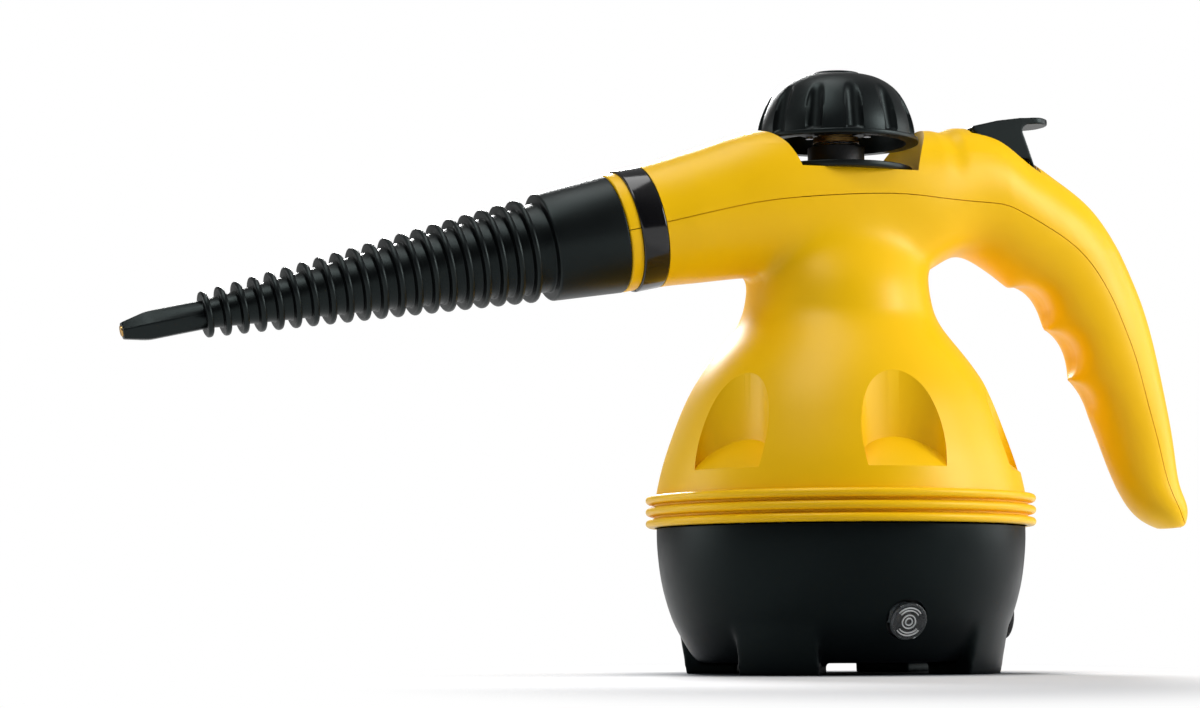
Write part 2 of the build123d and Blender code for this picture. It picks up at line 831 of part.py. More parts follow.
corner_places = [polar_point(tower_ring_r, 45 + number * 360 / foot_count) for number in range(foot_count)]
base_screws = screw_set(corner_places, lambda at: Plane(origin=(*at, tower_top_z - tower_web)), screw_head_r,
                        screw_head_height, screw_r - fit_gap, screw_length)
keep(base_screws, "base_screws")
dish_places = [polar_point(dish_screw_ring_r, 30 + number * 360 / dish_screw_count)
               for number in range(dish_screw_count)]
dish_screws = screw_set(dish_places,
                        lambda at: Plane(origin=(*at, recess_z + dish_floor), z_dir=(0, 0, -1)),
                        screw_head_r, screw_head_height / 2, screw_r - fit_gap,
                        dish_screw_length - dish_floor)
keep(dish_screws, "dish_screws")
handle_screws = screw_set([(0, 0)], lambda at: handle_screw_axis.offset(handle_screw_depth), screw_head_r,
                          screw_head_height, screw_r - fit_gap, handle_screw_length)
keep(handle_screws, "handle_screws")

# Boiler: cast bowl and dome clamped by six bolts through a gasket and a steel bracket
flange_z = tower_top_z + bracket_thick
gasket_z = flange_z + flange_thick
upper_z = gasket_z + gasket_thick
inner_r = boiler_r - boiler_wall
with BuildPart() as boiler_bracket:
    with BuildSketch(Plane.XY.offset(tower_top_z)):
        Circle(flange_r)
        for number in range(foot_count):
            turn = 45 + number * 360 / foot_count
            with Locations(Location((0, 0), turn)):
                with Locations(((flange_r + tower_ring_r) / 2, 0)):
                    Rectangle(2 * (tower_ring_r - flange_r), 2 * bracket_arm_half_width)
        with PolarLocations(tower_ring_r, foot_count, start_angle=45):
            Circle(bracket_arm_half_width)
            Circle(screw_r + fit_gap, mode=Mode.SUBTRACT)
        Circle(boiler_r + body_gap, mode=Mode.SUBTRACT)
        with PolarLocations(bolt_ring_r, bolt_count):
            Circle(bolt_r + fit_gap, mode=Mode.SUBTRACT)
    extrude(amount=bracket_thick)
keep(boiler_bracket.part, "boiler_bracket")

with BuildPart() as boiler_lower:
    with BuildSketch(Plane.XZ):
        with BuildLine():
            Polyline((0, gasket_z), (flange_r, gasket_z), (flange_r, flange_z), (boiler_r, flange_z),
                     (boiler_r, boiler_low_z + boiler_corner_r))
            TangentArc((boiler_r, boiler_low_z + boiler_corner_r),
                       (boiler_r - boiler_corner_r, boiler_low_z), tangent=(0, -1))
            Polyline((boiler_r - boiler_corner_r, boiler_low_z), (0, boiler_low_z), (0, gasket_z))
        make_face()
    revolve(axis=Axis.Z)
    with BuildSketch(Plane.XY.offset(boiler_low_z + boiler_wall)):
        Circle(inner_r)
    extrude(amount=gasket_z - boiler_low_z, mode=Mode.SUBTRACT)
    fillet(boiler_lower.edges().group_by(Axis.Z)[-1].sort_by(SortBy.RADIUS)[0:1], fit_gap)
    with BuildSketch(Plane.XY.offset(flange_z)):
        with PolarLocations(bolt_ring_r, bolt_count):
            Circle(bolt_r + fit_gap)
    extrude(amount=flange_thick, mode=Mode.SUBTRACT)
keep(boiler_lower.part, "boiler_lower")

with BuildPart() as boiler_gasket:
    with BuildSketch(Plane.XY.offset(gasket_z)):
        Circle(flange_r)
        Circle(inner_r, mode=Mode.SUBTRACT)
        with PolarLocations(bolt_ring_r, bolt_count):
            Circle(bolt_r + fit_gap, mode=Mode.SUBTRACT)
    extrude(amount=gasket_thick)
keep(boiler_gasket.part, "boiler_gasket")

dome_rise = boiler_high_z - boiler_shoulder_z
with BuildPart() as boiler_upper:
    with BuildSketch(Plane.XZ):
        with BuildLine():
            Polyline((inner_r, upper_z), (flange_r, upper_z), (flange_r, upper_z + flange_thick),
                     (boiler_r, upper_z + flange_thick), (boiler_r, boiler_shoulder_z))
            ThreePointArc((boiler_r,
                           boiler_shoulder_z), (boiler_port_r + (boiler_r - boiler_port_r) * dome_run_share,
                           boiler_shoulder_z + dome_rise * dome_rise_share), (boiler_port_r, boiler_high_z))
            Polyline((boiler_port_r, boiler_high_z), (boiler_port_r, boiler_port_z),
                     (filler_r + fit_gap, boiler_port_z),
                     (filler_r + fit_gap, boiler_high_z - boiler_wall),
                     (boiler_port_r, boiler_high_z - boiler_wall))
            ThreePointArc((boiler_port_r, boiler_high_z - boiler_wall),
                          (boiler_port_r + (inner_r - boiler_port_r) * dome_run_share,
                           boiler_shoulder_z - boiler_wall + dome_rise * dome_rise_share),
                          (inner_r, boiler_shoulder_z - boiler_wall))
            Line((inner_r, boiler_shoulder_z - boiler_wall), (inner_r, upper_z))
        make_face()
    revolve(axis=Axis.Z)
    with BuildSketch(Plane.XY.offset(upper_z)):
        with PolarLocations(bolt_ring_r, bolt_count):
            Circle(bolt_r + fit_gap)
    extrude(amount=flange_thick, mode=Mode.SUBTRACT)
    with BuildSketch(Plane.XY.offset(boiler_shoulder_z)):
        with Locations((inlet_x, inlet_y)):
            Circle(tube_r + fit_gap)
    extrude(amount=boiler_port_z - boiler_shoulder_z, mode=Mode.SUBTRACT)
keep(boiler_upper.part, "boiler_upper")

bolt_places = [polar_point(bolt_ring_r, number * 360 / bolt_count) for number in range(bolt_count)]
bolt_length = 2 * flange_thick + gasket_thick + bracket_thick + bolt_head_height
boiler_bolts = screw_set(bolt_places,
                         lambda at: Plane(origin=(*at, upper_z + flange_thick), z_dir=(0, 0, -1)),
                         bolt_head_r, bolt_head_height, bolt_r, bolt_length)
keep(boiler_bolts, "boiler_bolts")

insulation_jacket = turned([(boiler_r + fit_gap, jacket_low_z), (boiler_r + jacket_thick, jacket_low_z),
                            (boiler_r + jacket_thick, jacket_high_z), (boiler_r + fit_gap, jacket_high_z)])
keep(insulation_jacket, "insulation_jacket")

# Heater: a C-shaped sheathed element under the boiler with its two pins
with BuildPart() as heating_element:
    start = Plane.XZ.rotated((0, 0, -90 + (360 - element_arc) / 2))
    with BuildSketch(start):
        with Locations((element_ring_r, boiler_low_z - element_r)):
            Circle(element_r)
    revolve(axis=Axis.Z, revolution_arc=element_arc)
    for turn in (-90 - (360 - element_arc) / 2, -90 + (360 - element_arc) / 2):
        with BuildSketch(Plane.XY.offset(boiler_low_z - element_r)):
            with Locations(polar_point(element_ring_r, turn)):
                Circle(element_pin_r)
        extrude(amount=-element_pin_drop)
keep(heating_element.part, "heating_element")
thermostat = turned([(0, boiler_low_z), (thermostat_r, boiler_low_z),
                     (thermostat_r, boiler_low_z - thermostat_height / 3),
                     (thermostat_r * thermostat_step_share, boiler_low_z - thermostat_height / 3),
                     (thermostat_r * thermostat_step_share, boiler_low_z - thermostat_height),
                     (0, boiler_low_z - thermostat_height)])
keep(thermostat, "thermostat")
with BuildPart() as thermal_cutoff:
    with BuildSketch(Plane.XZ.offset(-cutoff_length / 2)):
        with Locations((cutoff_x, boiler_low_z - cutoff_r)):
            Circle(cutoff_r)
    extrude(amount=cutoff_length)
keep(thermal_cutoff.part, "thermal_cutoff")
with BuildPart() as terminal_block:
    with BuildSketch(Plane.XY.offset(base_floor_z + base_wall)):
        with Locations((terminal_x - terminal_width / 4, 0)):
            Rectangle(terminal_width, terminal_length)
    extrude(amount=terminal_height)
    with BuildSketch(Plane.XY.offset(base_floor_z + base_wall + terminal_height)):
        with Locations((terminal_x - terminal_width / 4, 0)):
            with GridLocations(terminal_width / 2, terminal_length / 3, 2, 3):
                Circle(screw_r)
    extrude(amount=-terminal_height / 2, mode=Mode.SUBTRACT)
keep(terminal_block.part, "terminal_block")

# Filler tube and the dish round it
filler_neck = turned([(filler_bore_r, boiler_high_z), (filler_r, boiler_high_z), (filler_r, filler_top_z),
                      (filler_bore_r, filler_top_z)])
keep(filler_neck, "filler_neck")
with BuildPart() as filler_dish:
    with BuildSketch(Plane.XZ):
        with BuildLine():
            Polyline((filler_r + fit_gap, recess_z), (dish_r, recess_z), (dish_r, recess_z + dish_rim),
                     (dish_r - dish_rim_thick, recess_z + dish_rim),
                     (dish_r - 2 * dish_rim_thick, recess_z + dish_floor),
                     (dish_boss_r, recess_z + dish_floor), (dish_boss_r, dish_boss_z),
                     (filler_r + fit_gap, dish_boss_z), close=True)
        make_face()
    revolve(axis=Axis.Z)
    with BuildSketch(Plane.XY.offset(recess_z)):
        with PolarLocations(dish_screw_ring_r, dish_screw_count, start_angle=30):
            Circle(screw_r + fit_gap)
    extrude(amount=dish_floor, mode=Mode.SUBTRACT)
keep(filler_dish.part, "filler_dish")

# Cap: seal, slip washer, brass core, spring, retainer and the fluted dome
seal_z = filler_top_z + body_gap
washer_z = seal_z + seal_thick + body_gap
collar_z = washer_z + washer_thick + body_gap
head_z = hub_low_z + body_gap
bore_r = core_shank_r + body_gap
cap_seal = turned([(bore_r, seal_z), (seal_r, seal_z), (seal_r, seal_z + seal_thick),
                   (bore_r, seal_z + seal_thick)])
keep(cap_seal, "cap_seal")
cap_washer = turned([(bore_r, washer_z), (washer_r, washer_z), (washer_r, washer_z + washer_thick),
                     (bore_r, washer_z + washer_thick)])
keep(cap_washer, "cap_washer")
relief_seat_z = core_low_z + relief_seat_height
cap_core = turned([(relief_hole_r, core_low_z), (core_shank_r, core_low_z), (core_shank_r, collar_z),
                   (core_collar_r, collar_z), (core_collar_r, collar_z + core_collar_height),
                   (core_neck_r, collar_z + core_collar_height), (core_neck_r, head_z),
                   (core_head_r, head_z), (core_head_r, head_z + core_head_height),
                   (relief_bore_r, head_z + core_head_height), (relief_bore_r, relief_seat_z),
                   (relief_hole_r, relief_seat_z)])
keep(cap_core, "cap_core")
core_top_z = head_z + core_head_height

cap_rise = cap_top_z - cap_rim_z
dome_points = [(cap_skirt_r * r_share, cap_rim_z + cap_rise * z_share)
               for r_share, z_share in zip(cap_radius_shares, cap_height_shares)]
dome_inside = [(cap_skirt_r * r_share - cap_wall, cap_rim_z + cap_rise * z_share - cap_wall * z_share)
               for r_share, z_share in list(zip(cap_radius_shares, cap_height_shares))[:-1]]
ceiling_z = cap_top_z - cap_wall
with BuildPart() as cap_knob:
    with BuildSketch(Plane.XZ):
        with BuildLine():
            Polyline((0, cap_top_z), (0, cap_rim_z), (cap_rim_r, cap_rim_z),
                     (cap_rim_r, cap_rim_z + cap_rim_height), dome_points[0])
            Spline(dome_points, tangents=[(0, 1), (-1, 0.15)])
            Polyline(dome_points[-1], (cap_disc_r, cap_top_z), (0, cap_top_z))
        make_face()
    revolve(axis=Axis.Z)
    slant = Vector(flute_high_r - flute_low_r, 0, flute_high_z - cap_rim_z - cap_rim_height)
    for number in range(flute_count):
        turn = -90 + flute_turn + number * 360 / flute_count
        spot = Vector(*polar_point(flute_low_r, turn), cap_rim_z + cap_rim_height)
        with BuildSketch(Plane(origin=spot, z_dir=slant.rotate(Axis.Z, turn))):
            Circle(flute_r)
        extrude(amount=slant.length + flute_r, mode=Mode.SUBTRACT)
    with BuildSketch(Plane.XZ):
        with BuildLine():
            Polyline((hub_r, dome_inside[-1][1]), (hub_r, cap_rim_z),
                     (cap_skirt_r - cap_wall, cap_rim_z), dome_inside[0])
            Spline(dome_inside, tangents=[(0, 1), (-1, 0.6)])
            Line(dome_inside[-1], (hub_r, dome_inside[-1][1]))
        make_face()
    revolve(axis=Axis.Z, mode=Mode.SUBTRACT)
    with BuildSketch(Plane.XY.offset(cap_rim_z)):
        Circle(hub_r)
    extrude(amount=hub_low_z - cap_rim_z, mode=Mode.SUBTRACT)
    with BuildSketch(Plane.XY.offset(hub_low_z)):
        Circle(hub_bore_r)
    extrude(amount=ceiling_z - hub_low_z, mode=Mode.SUBTRACT)
    with BuildSketch(Plane.XY.offset(hub_low_z)):
        with PolarLocations(cap_screw_ring_r, cap_screw_count, start_angle=-120):
            Circle(cap_screw_r)
    extrude(amount=cap_screw_length, mode=Mode.SUBTRACT)
keep(cap_knob.part, "cap_knob")
cap_top_disc = turned([(0, cap_top_z), (cap_disc_r, cap_top_z),
                       (cap_disc_r, cap_top_z + cap_disc_thick / 2),
                       (cap_disc_r - cap_disc_thick / 2, cap_top_z + cap_disc_thick),
                       (0, cap_top_z + cap_disc_thick)])
keep(cap_top_disc, "cap_top_disc")
with BuildPart() as cap_retainer:
    with BuildSketch(Plane.XY.offset(hub_low_z - retainer_thick)):
        Circle(hub_r)
        Circle(retainer_bore_r, mode=Mode.SUBTRACT)
        with PolarLocations(cap_screw_ring_r, cap_screw_count, start_angle=-120):
            Circle(cap_screw_r + fit_gap, mode=Mode.SUBTRACT)
    extrude(amount=retainer_thick)
keep(cap_retainer.part, "cap_retainer")
cap_screw_places = [polar_point(cap_screw_ring_r, -120 + number * 360 / cap_screw_count)
                    for number in range(cap_screw_count)]
cap_screws = screw_set(cap_screw_places, lambda at: Plane(origin=(*at, hub_low_z - retainer_thick)),
                       cap_screw_head_r, cap_screw_head_height, cap_screw_r - fit_gap / 2,
                       cap_screw_length)
keep(cap_screws, "cap_screws")
cap_spring = turned([(cap_spring_r - spring_wire, core_top_z), (cap_spring_r, core_top_z),
                     (cap_spring_r, ceiling_z - body_gap),
                     (cap_spring_r - spring_wire, ceiling_z - body_gap)])
keep(cap_spring, "cap_spring")

# Relief valve in the core's bore
ball_z = relief_seat_z + sqrt(relief_ball_r ** 2 - relief_hole_r ** 2) + fit_gap
with BuildPart() as relief_ball:
    with Locations((0, 0, ball_z)):
        Sphere(relief_ball_r)
keep(relief_ball.part, "relief_ball")
relief_plug_z = core_top_z - relief_plug_height
relief_plug = turned([(relief_hole_r, relief_plug_z), (relief_bore_r - fit_gap / 2, relief_plug_z),
                      (relief_bore_r - fit_gap / 2, core_top_z), (relief_hole_r, core_top_z)])
keep(relief_plug, "relief_plug")
relief_spring_z = ball_z + relief_ball_r + body_gap
relief_spring = turned([(relief_hole_r, relief_spring_z), (relief_hole_r + spring_wire, relief_spring_z),
                        (relief_hole_r + spring_wire, relief_plug_z), (relief_hole_r, relief_plug_z)])
keep(relief_spring, "relief_spring")

# Spout socket, latch ring, outlet nipple and seal, clamp ring
socket_r = socket_bore_r - fit_gap
ring_bore_r = spigot_r + body_gap
spout_socket = spout_turned([(socket_wall_s, nipple_r + fit_gap), (socket_wall_s, socket_r),
                             (socket_front_s, socket_r), (socket_front_s, latch_r + body_gap),
                             (socket_wall_s + socket_end_thick, latch_r + body_gap),
                             (socket_wall_s + socket_end_thick, nipple_r + fit_gap)])
keep(spout_socket, "spout_socket")
with BuildPart() as latch_ring:
    with BuildSketch(spout_plane(latch_low_s)):
        Circle(latch_r)
        Circle(ring_bore_r, mode=Mode.SUBTRACT)
        with PolarLocations(latch_r, latch_lug_count):
            Rectangle(2 * latch_lug_depth, latch_lug_width, mode=Mode.SUBTRACT)
    extrude(amount=latch_high_s - latch_low_s)
keep(latch_ring.part, "latch_ring")
outlet_nipple = spout_turned([(nipple_tail_s, nipple_bore_r), (nipple_tail_s, nipple_r),
                              (socket_wall_s - nipple_flange_thick, nipple_r),
                              (socket_wall_s - nipple_flange_thick, nipple_flange_r),
                              (socket_wall_s, nipple_flange_r), (socket_wall_s, nipple_r),
                              (nipple_front_s, nipple_r), (nipple_front_s, nipple_bore_r)])
keep(outlet_nipple, "outlet_nipple")
outlet_seal = spout_turned([(nozzle_seal_s - nozzle_seal_r, nipple_r + pin_gap),
                            (nozzle_seal_s + nozzle_seal_r, nipple_r + pin_gap),
                            (nozzle_seal_s + nozzle_seal_r, spigot_bore_r - body_gap),
                            (nozzle_seal_s - nozzle_seal_r, spigot_bore_r - body_gap)])
keep(outlet_seal, "outlet_seal")
with BuildPart() as clamp_ring:
    with BuildSketch(spout_side):
        with BuildLine():
            Polyline((-band_half, band_seat_r + pin_gap), (-band_half, spout_r), (band_half, spout_r),
                     (band_half, band_seat_r + pin_gap), close=True)
        make_face()
    revolve(axis=spout_axis)
    with BuildSketch(spout_plane(-band_half - overrun)):
        with Locations((0, -spout_r)):
            Rectangle(band_split, 2 * wall + overrun)
    extrude(amount=2 * band_half + 2 * overrun, mode=Mode.SUBTRACT)
keep(clamp_ring.part, "clamp_ring")

# Nozzle: spigot, taper, twenty rings on a narrowing core, hexagonal shank and coned tip
fin_pitch = (fin_last_s - fin_first_s) / (fin_count - 1)
fin_slope = (fin_last_r - fin_first_r) / (fin_last_s - fin_first_s)


def fin_r(s):
    return fin_first_r + fin_slope * (s - fin_first_s)


ring_corners = []
for number in range(fin_count):
    ring_s = fin_first_s + number * fin_pitch
    top = fin_r(ring_s)
    bottom = top - fin_depth
    ring_corners += [(ring_s - fin_thick / 2, bottom), (ring_s - fin_thick / 2, top - fin_thick / 3),
                     (ring_s - fin_thick / 5, top), (ring_s + fin_thick / 5, top),
                     (ring_s + fin_thick / 2, top - fin_thick / 3), (ring_s + fin_thick / 2, bottom)]
core_end_s = fin_last_s + fin_thick / 2
with BuildPart() as nozzle_cone:
    with BuildSketch(spout_side):
        with BuildLine():
            Polyline((spigot_end_s, 0), (spigot_end_s, spigot_r), (taper_low_s, spigot_r),
                     (taper_low_s, taper_back_r), (taper_end_s, taper_front_r),
                     (taper_end_s, fin_r(taper_end_s) - fin_depth), *ring_corners, (core_end_s, 0),
                     close=True)
        make_face()
    revolve(axis=spout_axis)
    with BuildSketch(spout_plane(core_end_s)):
        RegularPolygon(shank_half_width, 6, major_radius=False, rotation=30)
    extrude(amount=shank_end_s - core_end_s)
    with BuildSketch(spout_plane(shank_end_s)):
        RegularPolygon(shank_half_width, 6, major_radius=False, rotation=30)
    with BuildSketch(spout_plane(tip_s)):
        RegularPolygon(tip_r, 6, major_radius=False, rotation=30)
    loft()
    with BuildSketch(spout_plane(spigot_end_s)):
        Circle(spigot_bore_r)
    extrude(amount=spigot_bore_end_s - spigot_end_s, mode=Mode.SUBTRACT)
    with BuildSketch(spout_plane(spigot_bore_end_s)):
        Circle(nozzle_bore_r)
    extrude(amount=tip_s - jet_length - spigot_bore_end_s, mode=Mode.SUBTRACT)
    with BuildSketch(spout_plane(tip_s - jet_length)):
        Circle(jet_r + pin_gap)
    extrude(amount=jet_length, mode=Mode.SUBTRACT)
keep(nozzle_cone.part, "nozzle_cone")
liner_end_s = tip_s - jet_length - fit_gap
nozzle_liner = spout_turned([(spigot_bore_end_s, liner_bore_r), (spigot_bore_end_s, nozzle_bore_r - fit_gap),
                             (liner_end_s, nozzle_bore_r - fit_gap), (liner_end_s, liner_bore_r)])
keep(nozzle_liner, "nozzle_liner")
nozzle_jet = spout_turned([(tip_s - jet_length, jet_hole_r), (tip_s - jet_length, jet_r),
                           (tip_s + jet_proud, jet_r), (tip_s + jet_proud, jet_hole_r)])
keep(nozzle_jet, "nozzle_jet")

# Trigger: thumb pad, fin and hub on its cross pin
with BuildPart() as trigger:
    with BuildSketch(Plane.XZ):
        with BuildLine():
            Polyline((fin_front_x, pad_front_z - pad_thick), (fin_front_x, pivot_z),
                     (pivot_x, pivot_z - trigger_hub_r), (valve_x - 2 * nose_r, fin_low_z),
                     (fin_rear_low_x - nose_r, fin_low_z - nose_r / 2), (fin_rear_low_x, fin_rear_low_z),
                     (fin_rear_top_x, pad_mid_z - pad_thick / 2),
                     (pad_mid_x - 3 * nose_r, pad_mid_z - pad_thick), close=True)
        make_face()
        with Locations((pivot_x, pivot_z)):
            Circle(trigger_hub_r)
        with Locations((valve_x, fin_low_z)):
            Circle(nose_r)
    extrude(amount=fin_half_width, both=True)
    with BuildSketch(Plane.XZ):
        with BuildLine():
            Spline((pad_front_x, pad_front_z), (pad_mid_x, pad_mid_z), (pad_end_x, pad_end_z))
            Line((pad_end_x, pad_end_z), (pad_end_x, pad_end_z - pad_thick))
            Spline((pad_end_x, pad_end_z - pad_thick), (pad_mid_x, pad_mid_z - pad_thick),
                   (pad_front_x, pad_front_z - pad_thick / 2))
            Line((pad_front_x, pad_front_z - pad_thick / 2), (pad_front_x, pad_front_z))
        make_face()
    extrude(amount=pad_half_width, both=True)
    corners = trigger.edges().filter_by(Axis.Z).sort_by(Axis.X)[-2:]
    fillet(corners, pad_corner_r)
    with BuildSketch(Plane.XZ):
        with Locations((pivot_x, pivot_z)):
            Circle(trigger_pin_r + pin_gap)
    extrude(amount=pad_half_width, both=True, mode=Mode.SUBTRACT)
keep(trigger.part, "trigger")
with BuildPart() as trigger_pin:
    with BuildSketch(Plane.XZ):
        with Locations((pivot_x, pivot_z)):
            Circle(trigger_pin_r)
    extrude(amount=fin_half_width + slot_side_gap + ear_thick, both=True)
keep(trigger_pin.part, "trigger_pin")

# Steam valve under the trigger
valve_front_x = valve_x - valve_length / 2
with BuildPart() as valve_body:
    with BuildSketch(Plane.XY.offset(valve_low_z)):
        with Locations((valve_x, 0)):
            Rectangle(valve_length, valve_width)
    extrude(amount=valve_top_z - valve_low_z)
    with BuildSketch(Plane.XY.offset(plunger_low_z)):
        with Locations((valve_x, 0)):
            Circle(plunger_r + pin_gap)
    extrude(amount=valve_top_z - plunger_low_z, mode=Mode.SUBTRACT)
    for port_side, port_z in ((-port_y, inlet_port_z), (port_y, outlet_port_z)):
        with BuildSketch(Plane(origin=(valve_front_x, port_side, port_z), z_dir=(1, 0, 0))):
            Circle(tube_bore_r)
        extrude(amount=valve_length / 2, mode=Mode.SUBTRACT)
keep(valve_body.part, "valve_body")


# A ring turned about the valve's own upright axis
def valve_turned(corners):
    return Location((valve_x, 0, 0)) * turned(corners)


gland_top_z = valve_top_z + gland_height
valve_gland = valve_turned([(plunger_r + pin_gap, valve_top_z), (gland_r, valve_top_z),
                            (gland_r, gland_top_z), (plunger_r + pin_gap, gland_top_z)])
keep(valve_gland, "valve_gland")
plunger_neck_z = plunger_top_z - plunger_head_height
valve_plunger = valve_turned([(0, plunger_foot_z), (plunger_seal_r, plunger_foot_z),
                              (plunger_r, plunger_foot_z + plunger_r - plunger_seal_r),
                              (plunger_r, plunger_neck_z), (plunger_head_r, plunger_neck_z),
                              (plunger_head_r, plunger_top_z), (0, plunger_top_z)])
keep(valve_plunger, "valve_plunger")
valve_spring = valve_turned([(plunger_r + body_gap, gland_top_z), (plunger_r + spring_wire, gland_top_z),
                             (plunger_r + spring_wire, plunger_neck_z),
                             (plunger_r + body_gap, plunger_neck_z)])
keep(valve_spring, "valve_spring")


# Bent steam tube through the given points
def tube_solid(points):
    start = Vector(*points[0])
    along = (Vector(*points[1]) - start).normalized()
    with BuildPart() as tube:
        with BuildLine() as path:
            FilletPolyline(*points, radius=bend_r)
        with BuildSketch(Plane(origin=start, z_dir=along)):
            Circle(tube_r)
            Circle(tube_bore_r, mode=Mode.SUBTRACT)
        sweep(path=path.line)
    return tube.part


steam_tube_in = tube_solid([(inlet_x, inlet_y, boiler_shoulder_z + dome_rise / 2),
                            (inlet_x, inlet_y, inlet_port_z), (valve_front_x, -port_y, inlet_port_z)])
keep(steam_tube_in, "steam_tube_in")
tail = spout_point(nipple_tail_s, 0)
before_tail = spout_point(nipple_tail_s - 2 * bend_r, 0)
steam_tube_out = tube_solid([(valve_front_x, port_y, outlet_port_z),
                             (outlet_turn_x, port_y, outlet_port_z),
                             (outlet_pass_x, outlet_y, outlet_port_z),
                             (-outlet_pass_x / 2, outlet_y, outlet_port_z), before_tail, tail])
keep(steam_tube_out, "steam_tube_out")

# Indicator: ringed lens in the base, its lamp and the holder behind it
with BuildPart() as indicator_lens:
    with BuildSketch(lamp_face):
        Circle(lens_r)
    extrude(amount=-lens_depth)
    with BuildSketch(lamp_face.offset(-lens_depth)):
        Circle(lens_r + lens_flange)
    extrude(amount=lens_flange)
    with BuildSketch(lamp_face):
        for share in lens_ring_shares:
            Circle(lens_r * share + lens_ring_width / 2)
            Circle(lens_r * share - lens_ring_width / 2, mode=Mode.SUBTRACT)
    extrude(amount=lens_ring_depth)
keep(indicator_lens.part, "indicator_lens")
with BuildPart() as lamp_holder:
    with BuildSketch(lamp_face.offset(-lens_depth)):
        Circle(lens_r)
        Circle(lamp_r, mode=Mode.SUBTRACT)
    extrude(amount=-lamp_length / 2)
keep(lamp_holder.part, "lamp_holder")
with BuildPart() as neon_lamp:
    with BuildSketch(lamp_face.offset(-lens_depth - lamp_gap)):
        Circle(lamp_r)
    extrude(amount=-lamp_length)
keep(neon_lamp.part, "neon_lamp")

# Gland where the cord enters
with BuildPart() as cord_gland:
    with BuildSketch(inlet_face):
        Circle(gland_body_r)
    extrude(amount=-gland_length)
    with BuildSketch(inlet_face):
        Circle(gland_flange_r)
    extrude(amount=gland_flange_thick)
    with BuildSketch(inlet_face.offset(gland_flange_thick)):
        Circle(cord_bore_r)
    extrude(amount=-gland_length - gland_flange_thick, mode=Mode.SUBTRACT)
keep(cord_gland.part, "cord_gland")
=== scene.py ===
import bpy
import bmesh
import numpy as np
from math import cos, pi, radians, sin, sqrt
from mathutils import Matrix, Vector


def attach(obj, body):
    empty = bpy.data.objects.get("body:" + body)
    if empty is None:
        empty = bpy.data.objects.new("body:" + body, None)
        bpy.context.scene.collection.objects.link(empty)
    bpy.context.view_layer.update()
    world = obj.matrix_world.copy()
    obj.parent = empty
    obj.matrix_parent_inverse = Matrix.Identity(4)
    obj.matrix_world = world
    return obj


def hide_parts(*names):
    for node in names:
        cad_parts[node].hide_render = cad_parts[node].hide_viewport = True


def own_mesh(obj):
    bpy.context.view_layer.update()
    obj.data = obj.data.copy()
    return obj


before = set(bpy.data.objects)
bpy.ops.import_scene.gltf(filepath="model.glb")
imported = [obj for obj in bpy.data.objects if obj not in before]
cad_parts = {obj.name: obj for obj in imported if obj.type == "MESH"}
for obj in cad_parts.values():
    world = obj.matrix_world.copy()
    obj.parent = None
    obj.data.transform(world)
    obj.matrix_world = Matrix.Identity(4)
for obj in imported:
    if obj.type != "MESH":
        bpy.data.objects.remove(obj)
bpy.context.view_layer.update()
scene = bpy.context.scene
mm = 0.001
past = 90.0        # mm, how far a cutting tool reaches past the part where it may
weld = 0.0004      # mm, points closer than this are joined
sliver = 0.0002    # mm, faces thinner than this are dissolved

# Camera as the photograph was taken: near the floor, a little to the left, looking up slightly
cameraView = {
    "place": (-0.44036, -1.10781, 0.01704),
    "yaw": 17.331,        # degrees from +Y towards +X
    "pitch": 4.999,       # degrees above the floor
    "roll": 0.269,
    "focal": 94.38,       # mm
    "sensor": 36.0,       # mm wide
    "clip": (0.05, 50.0),    # m
}


def addCamera(view):
    data = bpy.data.cameras.new("photoCamera")
    data.sensor_width = view["sensor"]
    data.lens = view["focal"]
    data.clip_start, data.clip_end = view["clip"]
    camera = bpy.data.objects.new("photoCamera", data)
    scene.collection.objects.link(camera)
    yaw, pitch = radians(view["yaw"]), radians(view["pitch"])
    ahead = Vector((sin(yaw) * cos(pitch), cos(yaw) * cos(pitch), sin(pitch)))
    right = Vector((cos(yaw), -sin(yaw), 0))
    up = right.cross(ahead)
    turn = Matrix.Rotation(radians(view["roll"]), 3, ahead)
    right, up = turn @ right, turn @ up
    basis = Matrix((right, up, -ahead)).transposed().to_4x4()
    camera.matrix_world = Matrix.Translation(view["place"]) @ basis
    scene.camera = camera
    return camera


addCamera(cameraView)
print("stage: camera placed")

# Frames that pieces are turned in: the upright axis, and the sloping axis of the spout
spout = {"tilt": 12.58, "x": -80.9, "z": 165.5, "radius": 23.0}    # mm, at the middle of the band
slopeCos, slopeSin = cos(radians(spout["tilt"])), sin(radians(spout["tilt"]))
spoutAlong = Vector((-slopeCos, 0, -slopeSin))
spoutUp = Vector((-slopeSin, 0, slopeCos))
upright = Matrix.Identity(4)


def spoutPoint(s, up=0.0):
    return (spout["x"] - s * slopeCos - up * slopeSin, spout["z"] - s * slopeSin + up * slopeCos)


spoutFrame = Matrix.Translation((spout["x"] * mm, 0, spout["z"] * mm)) @ Matrix(
    (spoutUp, spoutAlong.cross(spoutUp), spoutAlong)).transposed().to_4x4()


# Small mesh tools; lengths inside them are millimetres until the mesh is made
def newPiece(name, points, faces, place=upright):
    mesh = bpy.data.meshes.new(name)
    mesh.from_pydata([tuple(place @ (Vector(p) * mm)) for p in points], [], faces)
    mesh.update()
    piece = bpy.data.objects.new(name, mesh)
    scene.collection.objects.link(piece)
    work = bmesh.new()
    work.from_mesh(mesh)
    bmesh.ops.remove_doubles(work, verts=work.verts, dist=weld * mm)
    bmesh.ops.dissolve_degenerate(work, edges=work.edges, dist=sliver * mm)
    bmesh.ops.recalc_face_normals(work, faces=work.faces)
    work.to_mesh(mesh)
    work.free()
    return piece


